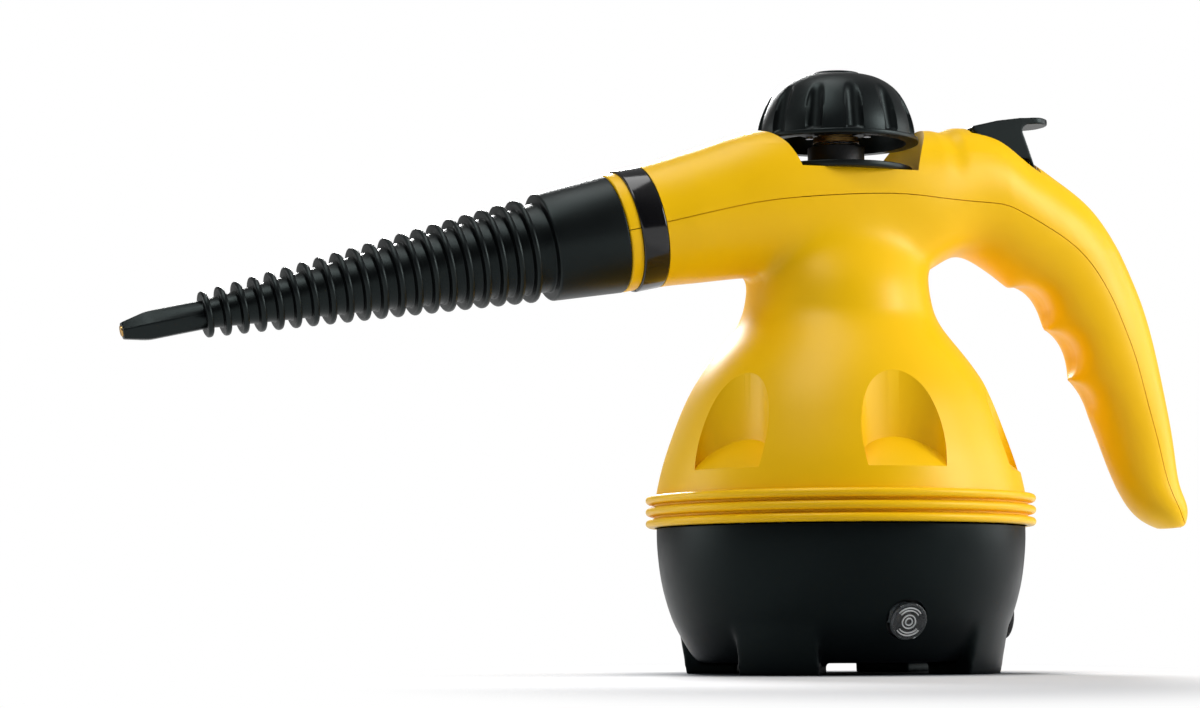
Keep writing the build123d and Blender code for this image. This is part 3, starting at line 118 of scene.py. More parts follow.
# Faces between rows of points, each row a loop; closed joins the last row to the first
def bandFaces(rows, count, closed=False):
    faces = []
    for row in range(rows if closed else rows - 1):
        here, following = row * count, (row + 1) % rows * count
        for step in range(count):
            beside = (step + 1) % count
            faces.append((here + step, here + beside, following + beside, following + step))
    return faces


# Skin over a list of rings; the first and last ring are closed with a fan
def ringSkin(name, rings, place=upright):
    count = len(rings[0])
    points = [p for ring in rings for p in ring]
    faces = bandFaces(len(rings), count)
    for level, flip in ((0, True), (len(rings) - 1, False)):
        points.append(tuple(np.mean(np.array(rings[level]), axis=0)))
        for step in range(count):
            pair = (level * count + step, level * count + (step + 1) % count)
            faces.append((pair[1], pair[0], len(points) - 1) if flip else (*pair, len(points) - 1))
    return newPiece(name, points, faces, place)


# Corners of a profile rounded with short arcs; each corner is (radius, height, rounding)
def rounded(corners, steps=5, closed=True):
    path = []
    count = len(corners)
    for number, corner in enumerate(corners):
        here = np.array(corner[:2], float)
        size = corner[2] if len(corner) > 2 else 0
        if not size or (not closed and number in (0, count - 1)):
            path.append(tuple(here))
            continue
        before = np.array(corners[number - 1][:2], float) - here
        after = np.array(corners[(number + 1) % count][:2], float) - here
        lengthBefore, lengthAfter = np.linalg.norm(before), np.linalg.norm(after)
        reach = min(size, lengthBefore * 0.49, lengthAfter * 0.49)
        start, end = here + before / lengthBefore * reach, here + after / lengthAfter * reach
        for step in range(steps + 1):
            t = step / steps
            path.append(tuple((1 - t) ** 2 * start + 2 * t * (1 - t) * here + t ** 2 * end))
    return path


# A profile of (radius, height) turned about the frame's axis
def turnedPiece(name, profile, segments=144, place=upright, closed=True):
    points = [(r * cos(a), r * sin(a), h) for r, h in profile for a in circle(segments)]
    return newPiece(name, points, bandFaces(len(profile), segments, closed), place)


# An outline in a plane, made solid between two depths
def slabPiece(name, outline, low, high, place=upright):
    count = len(outline)
    points = [(x, y, low) for x, y in outline] + [(x, y, high) for x, y in outline]
    faces = [tuple(range(count - 1, -1, -1)), tuple(range(count, 2 * count)), *bandFaces(2, count)]
    return newPiece(name, points, faces, place)


# Places of a tool: the plane seen from the side, with its depth along -Y, and a shift in millimetres
sidePlane = Matrix(((1, 0, 0, 0), (0, 0, -1, 0), (0, 1, 0, 0), (0, 0, 0, 1)))


def shifted(x=0.0, y=0.0, z=0.0):
    return Matrix.Translation((x * mm, y * mm, z * mm))


# Angles of a full circle, without the last one that closes it
def circle(segments):
    return [2 * pi * step / segments for step in range(segments)]


def roundTool(name, radius, low, high, place=upright, segments=96):
    return slabPiece(name, [(radius * cos(a), radius * sin(a)) for a in circle(segments)], low, high, place)


def boxTool(name, low, high):
    outline = [(low[0], low[1]), (high[0], low[1]), (high[0], high[1]), (low[0], high[1])]
    return slabPiece(name, outline, low[2], high[2])


def settle(piece):
    mesh = bpy.data.meshes.new_from_object(piece.evaluated_get(bpy.context.evaluated_depsgraph_get()))
    old = piece.data
    piece.modifiers.clear()
    piece.data = mesh
    mesh.name = piece.name
    bpy.data.meshes.remove(old)
    return piece


def combine(piece, tool, how="DIFFERENCE"):
    step = piece.modifiers.new("step", "BOOLEAN")
    step.operation = how
    step.solver = "MANIFOLD"
    step.object = tool
    settle(piece)
    old = tool.data
    bpy.data.objects.remove(tool)
    bpy.data.meshes.remove(old)
    return piece


def drill(piece, radius, low, high, place=upright, segments=96):
    return combine(piece, roundTool("drill", radius, low, high, place, segments))


def copyOf(piece, name):
    twin = bpy.data.objects.new(name, piece.data.copy())
    scene.collection.objects.link(twin)
    return twin


# Even mesh over joined forms, so that smoothing can round where they meet
def voxelSkin(piece, size):
    step = piece.modifiers.new("skin", "REMESH")
    step.mode = "VOXEL"
    step.voxel_size = size * mm
    return settle(piece)


def smoothed(piece, rounds, group=None):
    step = piece.modifiers.new("smooth", "SMOOTH")
    step.factor = 0.5
    step.iterations = rounds
    if group:
        step.vertex_group = group
    return settle(piece)


def vertexSpots(piece):
    spots = np.zeros(len(piece.data.vertices) * 3)
    piece.data.vertices.foreach_get("co", spots)
    return spots.reshape(-1, 3)


# Smoothing by a weight for each vertex, in a number of levels
def blendSmoothed(piece, weights, rounds, levels):
    group = piece.vertex_groups.new(name="blend")
    steps = np.round(weights * levels).astype(int)
    for step in range(1, levels + 1):
        group.add(np.nonzero(steps == step)[0].tolist(), step / levels, "REPLACE")
    smoothed(piece, rounds, group="blend")
    piece.vertex_groups.clear()


# 0 before start and 1 from full on
def slide(values, start, full):
    return np.clip((values - start) / (full - start), 0, 1)


# 1 at the middle, 0 from half away on
def tent(values, middle, half):
    return np.clip(1 - np.abs(values - middle) / half, 0, 1)


def finishPiece(piece, body, slot, finish, *replaced, sharp=32):
    mesh = piece.data
    mesh.materials.clear()
    mesh.materials.append(finishes[finish])
    mesh.shade_smooth()
    mesh.set_sharp_from_angle(angle=radians(sharp))
    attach(piece, body)
    if replaced:
        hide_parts(*replaced)
    return piece


# Node materials: a fixed value or a link goes into each named input
def setInputs(tree, node, inputs):
    for name, value in inputs.items():
        if isinstance(value, bpy.types.NodeSocket):
            tree.links.new(value, node.inputs[name])
        else:
            node.inputs[name].default_value = value


def addNode(tree, kind, inputs, **settings):
    node = tree.nodes.new("ShaderNode" + kind)
    for name, value in settings.items():
        setattr(node, name, value)
    setInputs(tree, node, inputs)
    return node


def nodeSet(name):
    material = bpy.data.materials.new(name)
    material.use_nodes = True
    tree = material.node_tree
    return material, tree, tree.nodes["Principled BSDF"], addNode(tree, "TexCoord", {}).outputs["Object"]


def noiseNode(tree, place, grain, detail=3.0, roughness=0.5, stretch=None):
    if stretch:
        place = addNode(tree, "Mapping", {"Vector": place, "Scale": stretch}).outputs["Vector"]
    return addNode(tree, "TexNoise", {
        "Vector": place, "Scale": 1 / (grain * mm), "Detail": detail, "Roughness": roughness}).outputs["Fac"]


def rampNode(tree, source, look):
    ramp = addNode(tree, "ValToRGB", {"Fac": source})
    for element, spot, colour in zip(ramp.color_ramp.elements, (0.3, 0.7), (look["dark"], look["light"])):
        element.position, element.color = spot, (*colour, 1)
    return ramp.outputs["Color"]


def spanNode(tree, source, start, full, low=0.0, high=1.0, interpolation="LINEAR"):
    return addNode(tree, "MapRange", {
        "Value": source, "From Min": start, "From Max": full, "To Min": low, "To Max": high,
    }, interpolation_type=interpolation).outputs["Result"]


# Roughness that wanders between the two values of the look
def glossNode(tree, source, look):
    return spanNode(tree, source, 0.25, 0.75, *look["roughness"])


def bumpNode(tree, source, depth, after=None):
    inputs = {"Strength": 1.0, "Distance": depth * mm, "Height": source}
    if after:
        inputs["Normal"] = after
    return addNode(tree, "Bump", inputs).outputs["Normal"]


# Moulded plastic: slow colour drift, uneven gloss, a fine skin texture and faint flow waves; its reflections
# take the look's tint, a painted reflection colour
def plasticFinish(name, look):
    material, tree, shader, place = nodeSet(name)
    waves = bumpNode(tree, noiseNode(tree, place, look["wave"][0], 1), look["wave"][1])
    grain = noiseNode(tree, place, look["grain"][0], 2, 0.6)
    setInputs(tree, shader, {
        "Base Color": rampNode(tree, noiseNode(tree, place, look["drift"], 4), look),
        "Roughness": glossNode(tree, noiseNode(tree, place, look["patch"], 5, 0.6), look),
        "Normal": bumpNode(tree, grain, look["grain"][1], waves),
        "IOR": look.get("ior", 1.5), "Specular Tint": (*look.get("tint", (1, 1, 1)), 1)})
    return material


# Metal: turned or brushed lines, tarnish in patches
def metalFinish(name, look):
    material, tree, shader, place = nodeSet(name)
    lines = noiseNode(tree, place, look["line"][0], 2, 0.5, look["stretch"])
    setInputs(tree, shader, {
        "Base Color": rampNode(tree, noiseNode(tree, place, look["patch"], 5, 0.6), look),
        "Roughness": glossNode(tree, lines, look), "Metallic": 1.0,
        "Normal": bumpNode(tree, lines, look["line"][1])})
    return material


# Felt: tangled threads, drawn out one way
def fibreFinish(name, look):
    material, tree, shader, place = nodeSet(name)
    threads = noiseNode(tree, place, look["thread"], 6, 0.7, (1, 1, 4))
    setInputs(tree, shader, {
        "Base Color": rampNode(tree, threads, look), "Normal": bumpNode(tree, threads, look["depth"]),
        "Roughness": 0.95, "Sheen Weight": 0.3})
    return material


# Clear moulding: nearly smooth, a little haze
def clearFinish(name, look):
    material, tree, shader, place = nodeSet(name)
    haze = noiseNode(tree, place, look["haze"], 3)
    setInputs(tree, shader, {
        "Base Color": rampNode(tree, haze, look), "Roughness": glossNode(tree, haze, look),
        "Normal": bumpNode(tree, haze, look["depth"]), "Transmission Weight": look["clear"], "IOR": 1.5})
    return material


# Looks by kind; sizes and depths in mm, and wave, grain and line hold a size and a depth
looks = (
    (plasticFinish, {
        # tint colours each look's reflections, yellowish on the yellow and teal-grey on the blacks: painted
        # reflection colour
        "yellowShell": {"dark": (0.88, 0.5, 0.001), "light": (0.93, 0.55, 0.002), "drift": 70, "patch": 22,
            "roughness": (0.34, 0.42), "wave": (26, 0.05), "grain": (0.55, 0.012), "ior": 1.4,
            "tint": (1.0, 0.92, 0.62)},
        "blackSatin": {"dark": (0.0022, 0.0026, 0.003), "light": (0.0042, 0.005, 0.0056), "drift": 40,
            "patch": 12, "roughness": (0.34, 0.42), "wave": (20, 0.03), "grain": (0.42, 0.022), "ior": 1.32,
            "tint": (0.8, 1.0, 0.98)},
        # The base's look is a darker, less reflective copy of blackSatin for the same black plastic: painted
        # shade
        "shadedBlackBowl": {"dark": (0.0014, 0.0018, 0.0024), "light": (0.003, 0.0036, 0.0042), "drift": 40,
            "patch": 12, "roughness": (0.3, 0.38), "wave": (20, 0.03), "grain": (0.42, 0.022), "ior": 1.22,
            "tint": (0.72, 1.0, 0.98)},
        "blackGloss": {"dark": (0.004, 0.004, 0.005), "light": (0.007, 0.007, 0.008), "drift": 30,
            "patch": 14, "roughness": (0.1, 0.16), "wave": (18, 0.02), "grain": (1.4, 0.003)},
        "blackCoarse": {"dark": (0.006, 0.006, 0.007), "light": (0.016, 0.017, 0.018), "drift": 9,
            "patch": 3, "roughness": (0.42, 0.62), "wave": (12, 0.02), "grain": (0.7, 0.1)},
        "blackRubber": {"dark": (0.008, 0.008, 0.009), "light": (0.014, 0.014, 0.015), "drift": 20,
            "patch": 5, "roughness": (0.55, 0.75), "wave": (9, 0.03), "grain": (0.35, 0.015)},
        "redRubber": {"dark": (0.16, 0.03, 0.02), "light": (0.24, 0.05, 0.03), "drift": 8, "patch": 4,
            "roughness": (0.45, 0.6), "wave": (6, 0.02), "grain": (0.4, 0.01)},
        "paleCeramic": {"dark": (0.55, 0.53, 0.48), "light": (0.68, 0.66, 0.6), "drift": 12, "patch": 5,
            "roughness": (0.35, 0.55), "wave": (8, 0.02), "grain": (0.5, 0.015)},
    }),
    (metalFinish, {
        "turnedBrass": {"dark": (0.42, 0.24, 0.07), "light": (0.66, 0.42, 0.15), "patch": 5,
            "roughness": (0.2, 0.38), "line": (1.2, 0.01), "stretch": (0.2, 0.2, 6)},
        "drawnSteel": {"dark": (0.4, 0.4, 0.41), "light": (0.58, 0.58, 0.6), "patch": 9,
            "roughness": (0.26, 0.42), "line": (1.5, 0.006), "stretch": (1, 1, 5)},
        "brightSteel": {"dark": (0.62, 0.62, 0.64), "light": (0.74, 0.74, 0.76), "patch": 6,
            "roughness": (0.1, 0.22), "line": (1.0, 0.002), "stretch": (1, 1, 3)},
        "castAluminium": {"dark": (0.42, 0.42, 0.43), "light": (0.6, 0.6, 0.61), "patch": 8,
            "roughness": (0.38, 0.6), "line": (0.8, 0.03), "stretch": (1, 1, 1)},
    }),
    (fibreFinish, {
        "feltJacket": {"dark": (0.55, 0.5, 0.42), "light": (0.78, 0.74, 0.66), "thread": 1.5, "depth": 0.4},
    }),
    (clearFinish, {
        # The lens disc is tinted dark grey, painted shade of its dark inside; its ridges take a paler, less
        # clear copy of the same moulding, painted highlight
        "paintedShadeLens": {"dark": (0.2, 0.22, 0.23), "light": (0.3, 0.33, 0.34), "roughness": (0.04, 0.12),
            "haze": 3, "depth": 0.004, "clear": 0.92},
        "paintedHighlightRidge": {"dark": (0.8, 0.82, 0.83), "light": (0.95, 0.96, 0.96), "roughness": (0.12, 0.22),
            "haze": 2, "depth": 0.01, "clear": 0.35},
        "neonGlass": {"dark": (0.8, 0.45, 0.3), "light": (0.92, 0.62, 0.45), "roughness": (0.05, 0.15),
            "haze": 2, "depth": 0.01, "clear": 0.6},
    }),
)
finishes = {name: make(name, look) for make, rows in looks for name, look in rows.items()}
print("stage: materials made")

# Yellow housing: the bulb, the arm that is spout, crown and handle, and the neck between them
housing = {
    "bellyRadius": 69.2, "neckRadius": 34.6, "skirtHeight": 54.9, "bellyHeight": 68.6, "neckHeight": 146.0,
    "bulbHeights": (0.0, 0.093, 0.289, 0.503, 0.677, 0.819, 1.0),
    "bulbSwell": (1.0, 0.954, 0.812, 0.598, 0.329, 0.098, 0.0),
    "shoulder": (158.0, 34.6, 27.8), "crownRoot": (176.0, 33.0, 20.0),    # height, half length, half width
    "crownPast": (8.0, -2.0, -3.0), "footDrops": (6.0, 2.5), "footSwells": (1.0, 0.4), "levels": 110,
    "ribRadius": 73.4, "ribRoot": 70.3, "ribThick": 3.1, "ribPitch": 4.38, "ribCount": 3, "ribInner": 66.0,
    "ribFlank": 1.15, "ribRise": 15.0,
    "skirtFrom": 30.0, "hollow": (66.5, 40.0, 66.0), "voxel": 0.8, "softRounds": 6,
    "dips": ((41.3, 6.0, 1.2), (74.0, 12.5, 1.5)), "dipFrom": (182.0, 194.0),    # x, half length, depth
}
# Where the joined forms are rounded into each other: a middle with its half, or where it starts and is full
soft = {
    "neckZ": (162.0, 22.0), "neckX": (58.0, 46.0),
    "rootZ": (167.0, 30.0), "rootX": (64.0, 50.0), "sideY": (8.0, 15.0),
    "gripX": (60.0, 70.0), "gripZ": (158.0, 148.0), "gripShare": 0.3,
    "flankY": (2.0, 11.0), "flankX": (62.0, 72.0), "flankTop": (162.0, 152.0), "flankFoot": (70.0, 85.0),
    "neckRounds": 60, "rootRounds": 520, "levels": 20,
}
arm = {
    "reach": 144.8, "spoutReach": 80.9, "height": 209.3, "halfWidth": 16.8,
    "backX": (-0.847, -0.694, -0.471, -0.247, -0.024, 0.117, 0.242, 0.348, 0.473, 0.589, 0.715,
              0.809, 0.876, 0.919, 0.943, 0.963, 0.979, 0.996, 0.990),
    "backZ": (0.922, 0.942, 0.971, 0.984, 0.991, 0.992, 0.990, 0.998, 0.979, 0.925,
              0.864, 0.776, 0.678, 0.569, 0.487, 0.406, 0.334, 0.286, 0.266),
    "frontX": (-0.718, -0.558, -0.341, -0.173, 0.0, 0.114, 0.228, 0.322, 0.396, 0.476, 0.536, 0.582,
               0.623, 0.657, 0.714, 0.762, 0.822, 0.894, 0.928),
    "frontZ": (0.697, 0.705, 0.714, 0.716, 0.717, 0.719, 0.724, 0.758, 0.751, 0.714,
               0.673, 0.630, 0.583, 0.538, 0.483, 0.406, 0.320, 0.272, 0.262),
    "widths": (1.43, 1.49, 1.54, 1.55, 1.53, 1.49, 1.41, 1.27, 1.16, 1.07,
               1.02, 1.0, 0.98, 0.95, 0.90, 0.83, 0.73, 0.61, 0.42),
    "fullness": (0.56, 0.58, 0.63, 0.655, 0.66, 0.655, 0.64, 0.60, 0.57, 0.56,
                 0.56, 0.56, 0.56, 0.56, 0.56, 0.56, 0.56, 0.56, 0.56),
    "stations": 200, "steps": 26,
}
dimple = {"count": 6, "halfWidth": 16.0, "halfDepth": 9.5, "centre": 63.1, "top": 118.0,
          "floorOut": (67.6, 75.0), "floorIn": (53.6, 86.0)}
grooves = {"radius": 11.8, "x": (0.518, 0.597, 0.645), "z": (0.652, 0.572, 0.481)}
seam = {"x": (-1.289, -1.063, -0.656, -0.315, 0.081, 0.243, 0.388, 0.466, 0.579, 0.669, 0.735,
              0.779, 0.815, 0.849, 0.882, 0.909, 0.944, 0.987, 1.08),
        "z": (0.762, 0.779, 0.818, 0.842, 0.856, 0.852, 0.8495, 0.838, 0.800, 0.754, 0.692,
              0.628, 0.565, 0.486, 0.414, 0.349, 0.296, 0.268, 0.250),
        "gap": 0.32, "tongueInset": 1.6, "tongueRise": 1.4}
recess = {"radius": 33.5, "floor": 188.5, "hole": 12.5, "cutLow": 150.0, "cutHigh": 240.0}
slot = {"front": 52.6, "rear": 80.9, "halfWidth": 10.4, "floor": 180.0,
        "pocketFront": 51.6, "pocketRear": 63.5, "pocketHalf": 10.6, "pocketFloor": 205.2}
valve = {"x": 69.5, "wells": ((6.4, 186.0, 205.0), (3.6, 172.2, 187.0))}    # radius, low end, high end
mouth = {"band": 5.0, "seat": 20.5, "lip": 9.5, "lipRadius": 22.2, "bore": 18.3, "boreEnd": -30.0,
         "barrelEnd": -22.0, "cutRadius": 40.0}
handleScrew = {"x": 108.4, "z": 84.0, "headRadius": 2.9, "start": -14.0, "depth": 6.0,
               "plugRadius": 2.84, "plugEnd": 3.6, "sunk": 3.6}


# Natural cubic through the given values, sampled at the wanted places
def smoothLine(places, values, wanted):
    places, values = np.array(places, float), np.array(values, float)
    gaps = np.diff(places)
    count = len(places)
    system, right = np.eye(count), np.zeros(count)
    for n in range(1, count - 1):
        system[n, n - 1:n + 2] = gaps[n - 1], 2 * (gaps[n - 1] + gaps[n]), gaps[n]
        right[n] = 6 * ((values[n + 1] - values[n]) / gaps[n] - (values[n] - values[n - 1]) / gaps[n - 1])
    bends = np.linalg.solve(system, right)
    part = np.clip(np.searchsorted(places, wanted) - 1, 0, count - 2)
    low, high, gap = places[part], places[part + 1], gaps[part]
    a, b = (high - wanted) / gap, (wanted - low) / gap
    return (a * values[part] + b * values[part + 1]
            + ((a ** 3 - a) * bends[part] + (b ** 3 - b) * bends[part + 1]) * gap ** 2 / 6)


# Quarter curves of a rounded section, squarer as fullness grows
def sectionLoop(halfU, halfV, fullness, steps):
    loop = []
    for quarter in range(4):
        for step in range(steps):
            t = step / steps
            lead = (1 - t) ** 3 + 3 * (1 - t) ** 2 * t + 3 * (1 - t) * t ** 2 * fullness
            rise = t ** 3 + 3 * (1 - t) * t ** 2 + 3 * (1 - t) ** 2 * t * fullness
            u, v = ((lead, rise), (-rise, lead), (-lead, -rise), (rise, -lead))[quarter]
            loop.append((u * halfU, v * halfV))
    return loop


# Places along the arm: the spout's side and the handle's side have their own reach
def alongReach(share):
    return share * (arm["spoutReach"] if share < 0 else arm["reach"])


def armPiece(name, inset=0.0):
    radius, roundness = spout["radius"], 0.5523
    rows = [(*spoutPoint(s, radius), *spoutPoint(s, -radius), radius, roundness) for s in (2.0, -5.0)]
    for n in range(len(arm["backX"])):
        rows.append((alongReach(arm["backX"][n]), arm["backZ"][n] * arm["height"],
                     alongReach(arm["frontX"][n]), arm["frontZ"][n] * arm["height"],
                     arm["widths"][n] * arm["halfWidth"], arm["fullness"][n]))
    rows = np.array(rows)
    middles = (rows[:, 0:2] + rows[:, 2:4]) / 2
    walk = np.concatenate(([0], np.cumsum(np.linalg.norm(np.diff(middles, axis=0), axis=1))))
    wanted = np.linspace(0, walk[-1], arm["stations"])
    fine = np.stack([smoothLine(walk, rows[:, column], wanted) for column in range(6)], axis=1)
    rings = []
    for backX, backZ, frontX, frontZ, halfWidth, fullness in fine:
        across = np.array((backX - frontX, backZ - frontZ)) / 2
        middle = np.array((backX + frontX, backZ + frontZ)) / 2
        half = np.linalg.norm(across)
        unit = across / half
        rings.append([(middle[0] + unit[0] * v, -u, middle[1] + unit[1] * v)
                      for u, v in sectionLoop(halfWidth - inset, half - inset, fullness, arm["steps"])])
    return ringSkin(name, rings)


def bulbPiece(name):
    span = housing["neckHeight"] - housing["bellyHeight"]
    swell = housing["bellyRadius"] - housing["neckRadius"]
    heights = [housing["bellyHeight"] + span * share for share in housing["bulbHeights"]]
    radii = [housing["neckRadius"] + swell * share for share in housing["bulbSwell"]]
    upper = [housing["shoulder"], housing["crownRoot"], np.array(housing["crownRoot"]) + housing["crownPast"]]
    levels, lengths, widths = (
        start + [row[n] for row in upper] for n, start in enumerate((heights, radii, radii)))
    wanted = np.linspace(levels[0], levels[-1], housing["levels"])
    halfLengths, halfWidths = smoothLine(levels, lengths, wanted), smoothLine(levels, widths, wanted)
    starts, belly = (housing["skirtHeight"], housing["bellyHeight"]), housing["bellyRadius"]
    ovals = [(start - drop, belly + swell, belly + swell)
             for start, drop, swell in zip(starts, housing["footDrops"], housing["footSwells"])]
    ovals += zip(wanted, halfLengths, halfWidths)
    return ringSkin(name, [[(halfLength * cos(a), halfWidth * sin(a), z) for a in circle(144)]
                           for z, halfLength, halfWidth in ovals])


# One scoop above a floor that slopes as a cone round the boiler's axis
def dimpleTool(turn):
    outX, outZ = dimple["floorOut"]
    slope = (dimple["floorIn"][1] - outZ) / (outX - dimple["floorIn"][0])
    levels = 14
    rings = []
    for level in range(1, levels + 1):
        share = level / levels
        halfWidth, halfDepth = dimple["halfWidth"] * share, dimple["halfDepth"] * share
        spots = [(halfWidth * cos(a), -dimple["centre"] + halfDepth * sin(a)) for a in circle(96)]
        rings.append([(x, y, outZ + (outX - sqrt(x * x + y * y)) * slope) for x, y in spots])
    rings.append([(x, y, dimple["top"]) for x, y, z in rings[-1]])
    return ringSkin("dimpleTool", rings, Matrix.Rotation(radians(turn), 4, "Z"))


# Everything above the seam, or a strip of the given thickness above it; shift moves the seam up
def seamRegion(name, shift, top):
    height = arm["height"]
    walk = np.arange(len(seam["x"]), dtype=float)
    wanted = np.linspace(0, walk[-1], 240)
    xs = smoothLine(walk, [alongReach(share) for share in seam["x"]], wanted)
    zs = smoothLine(walk, np.array(seam["z"]) * height, wanted)
    slopeX, slopeZ = np.gradient(xs), np.gradient(zs)
    length = np.hypot(slopeX, slopeZ)
    xs, zs = xs + slopeZ / length * -shift, zs + slopeX / length * shift
    outline = list(zip(xs, zs))
    if top is None:
        outline += [(xs[-1] + past, zs[-1]), (xs[-1] + past, height + past), (xs[0], height + past)]
    else:
        outline += list(zip(xs + slopeZ / length * -top, zs + slopeX / length * top))[::-1]
    return slabPiece(name, outline, -past, past, sidePlane)


def housingForm():
    form = bulbPiece("housingForm")
    spoutAndHandle = armPiece("arm")
    for x, z in zip(grooves["x"], grooves["z"]):
        place = shifted(alongReach(x), 0, arm["height"] * z) @ sidePlane
        drill(spoutAndHandle, grooves["radius"], -past, past, place)
    combine(form, spoutAndHandle, "UNION")
    voxelSkin(form, housing["voxel"])
    smoothed(form, housing["softRounds"])
    x, y, z = (vertexSpots(form) / mm).T
    away, aside = np.abs(x), np.abs(y)
    neck = tent(z, *soft["neckZ"]) * slide(away, *soft["neckX"])
    grip = slide(x, *soft["gripX"]) * slide(z, *soft["gripZ"]) * soft["gripShare"]
    flank = slide(aside, *soft["flankY"]) * slide(x, *soft["flankX"]) * slide(z, *soft["flankTop"])
    root = tent(z, *soft["rootZ"]) ** 0.4 * slide(away, *soft["rootX"]) * slide(aside, *soft["sideY"])
    root = np.maximum(root, flank * slide(z, *soft["flankFoot"]))
    blendSmoothed(form, np.maximum(neck ** 0.5, grip), soft["neckRounds"], soft["levels"])
    blendSmoothed(form, root, soft["rootRounds"], soft["levels"])
    spots = vertexSpots(form)
    x, y, z = (spots / mm).T
    for middle, half, depth in housing["dips"]:
        near = tent(x, middle, half)
        spots[:, 2] -= depth * mm * near ** 2 * (3 - 2 * near) * slide(z, *housing["dipFrom"])
    form.data.vertices.foreach_set("co", spots.ravel())
    form.data.update()
    return form


# Three round ribs on a ring whose upper edge meets the bulb
def ribRing():
    skirt, root, half = housing["skirtHeight"], housing["ribRoot"], housing["ribThick"] / 2
    flank = half * housing["ribFlank"]
    profile = []
    for number in range(housing["ribCount"]):
        middle = skirt + half + number * housing["ribPitch"]
        profile.append((root, middle - flank, 0.3) if number else (root, middle - half))
        profile += [(housing["ribRadius"] - half + half * cos(a), middle + half * sin(a))
                    for a in np.linspace(-pi / 2, pi / 2, 13)]
        profile.append((root, middle + flank, 0.3))
    profile[-1] = (housing["bellyRadius"] - 0.1, profile[-1][1], 0.3)
    profile += [(housing["ribInner"], skirt + housing["ribRise"]), (housing["ribInner"], skirt)]
    return turnedPiece("skirtRibs", rounded(profile, 3), 288)


form = housingForm()
print("stage: housing form skinned,", len(form.data.polygons), "faces")

for number in range(dimple["count"]):
    combine(form, dimpleTool(number * 360 / dimple["count"]))
skirtLow, skirtHigh = (-past, -past, housing["skirtFrom"]), (past, past, housing["skirtHeight"])
combine(form, boxTool("skirtCut", skirtLow, skirtHigh))
drill(form, mouth["cutRadius"], -mouth["band"], past, spoutFrame)
seat, lipRadius, start, end = mouth["seat"], mouth["lipRadius"], mouth["barrelEnd"], mouth["lip"]
barrel = [(0, start), (seat, start), (seat, mouth["band"]), (lipRadius, mouth["band"], 0.3),
          (lipRadius, end, 0.8), (0, end)]
combine(form, turnedPiece("barrel", rounded(barrel), 160, spoutFrame, closed=False), "UNION")
finishPiece(ribRing(), "base", "lower_housing", "yellowShell", sharp=60)
drill(form, mouth["bore"], mouth["boreEnd"], mouth["lip"] + 5, spoutFrame)
drill(form, *housing["hollow"])
print("stage: dimples, ribs and spout cut,", len(form.data.polygons), "faces")

upper = copyOf(form, "upperShell")
tongue = armPiece("tongue", seam["tongueInset"])
rise, halfGap = seam["tongueRise"], seam["gap"] / 2
combine(tongue, seamRegion("tongueBand", -rise, 2 * rise + seam["gap"]), "INTERSECT")
combine(upper, seamRegion("upperRegion", halfGap, None), "INTERSECT")
combine(form, seamRegion("lowerRegion", -halfGap, None))
drill(upper, recess["radius"], recess["floor"], recess["cutHigh"], segments=180)
drill(upper, recess["hole"], recess["cutLow"], recess["cutHigh"])
drill(form, recess["hole"], recess["cutLow"], recess["cutHigh"])
for name, front, rear, half, low in (
        ("slotCut", slot["front"], slot["rear"], slot["halfWidth"], slot["floor"]),
        ("pocketCut", slot["pocketFront"], slot["pocketRear"], slot["pocketHalf"], slot["pocketFloor"])):
    combine(upper, boxTool(name, (front, -half, low), (rear, half, recess["cutHigh"])))
screwFrame = shifted(handleScrew["x"], 0, handleScrew["z"]) @ Matrix.Rotation(pi / 2, 4, "Y")
plug = copyOf(form, "screwPlug")
start, headEnd, plugEnd = handleScrew["start"], handleScrew["depth"], handleScrew["plugEnd"]
combine(plug, roundTool("plugSize", handleScrew["plugRadius"], start, plugEnd, screwFrame), "INTERSECT")
drill(form, handleScrew["headRadius"], start, headEnd, screwFrame)
for radius, low, high in valve["wells"]:
    drill(form, radius, low, high, shifted(valve["x"]), 64)
drill(tongue, recess["radius"], recess["cutLow"], recess["cutHigh"])
drill(tongue, mouth["cutRadius"], -mouth["band"] - 1, past, spoutFrame)
combine(upper, tongue, "UNION")
form.name = "lowerShell"
finishPiece(form, "base", "lower_housing", "yellowShell", "lower_housing")
finishPiece(upper, "base", "upper_housing", "yellowShell", "upper_housing")
finishPiece(plug, "base", "lower_housing", "yellowShell")
print("stage: shells parted at the seam,", len(form.data.polygons), "and", len(upper.data.polygons), "faces")

# Black bowl of the base with its four feet
bowl = {
    "rim": 54.7, "floor": 4.4, "radius": 69.3, "wall": 2.5,
    "heights": (0.98, 0.842, 0.644, 0.476, 0.328, 0.206, 0.06, 0.0),
    "radii": (1.0, 0.997, 0.981, 0.955, 0.921, 0.879, 0.815, 0.772),
    "footCount": 4, "footArc": 31.0, "footInner": 40.0, "footLow": 59.5, "footHigh": 63.2, "footRise": 19.5,
    "voxel": 0.62, "softRounds": 6, "blendRounds": 70, "blendLow": (3.0, 12.0), "blendHigh": (32.0, 24.0),
    "lipDrop": 0.8, "lipInner": 66.0, "towerRing": 52.0, "tunnelRadius": 3.4,
    "lamp": (0.0, -64.2, 19.5), "lampTilt": 21.0, "lampRadius": 7.85,
    "inlet": (65.0, 0.0, 22.0), "inletRadius": 9.6,
    "insideTop": 60.0, "tunnelCut": (-5.0, 40.0), "lampCut": (-12.0, 8.0), "inletCut": (-8.0, 20.0),
}
lampFrame = shifted(*bowl["lamp"]) @ Matrix.Rotation(radians(90 + bowl["lampTilt"]), 4, "X")
inletFrame = shifted(*bowl["inlet"]) @ Matrix.Rotation(pi / 2, 4, "Y")


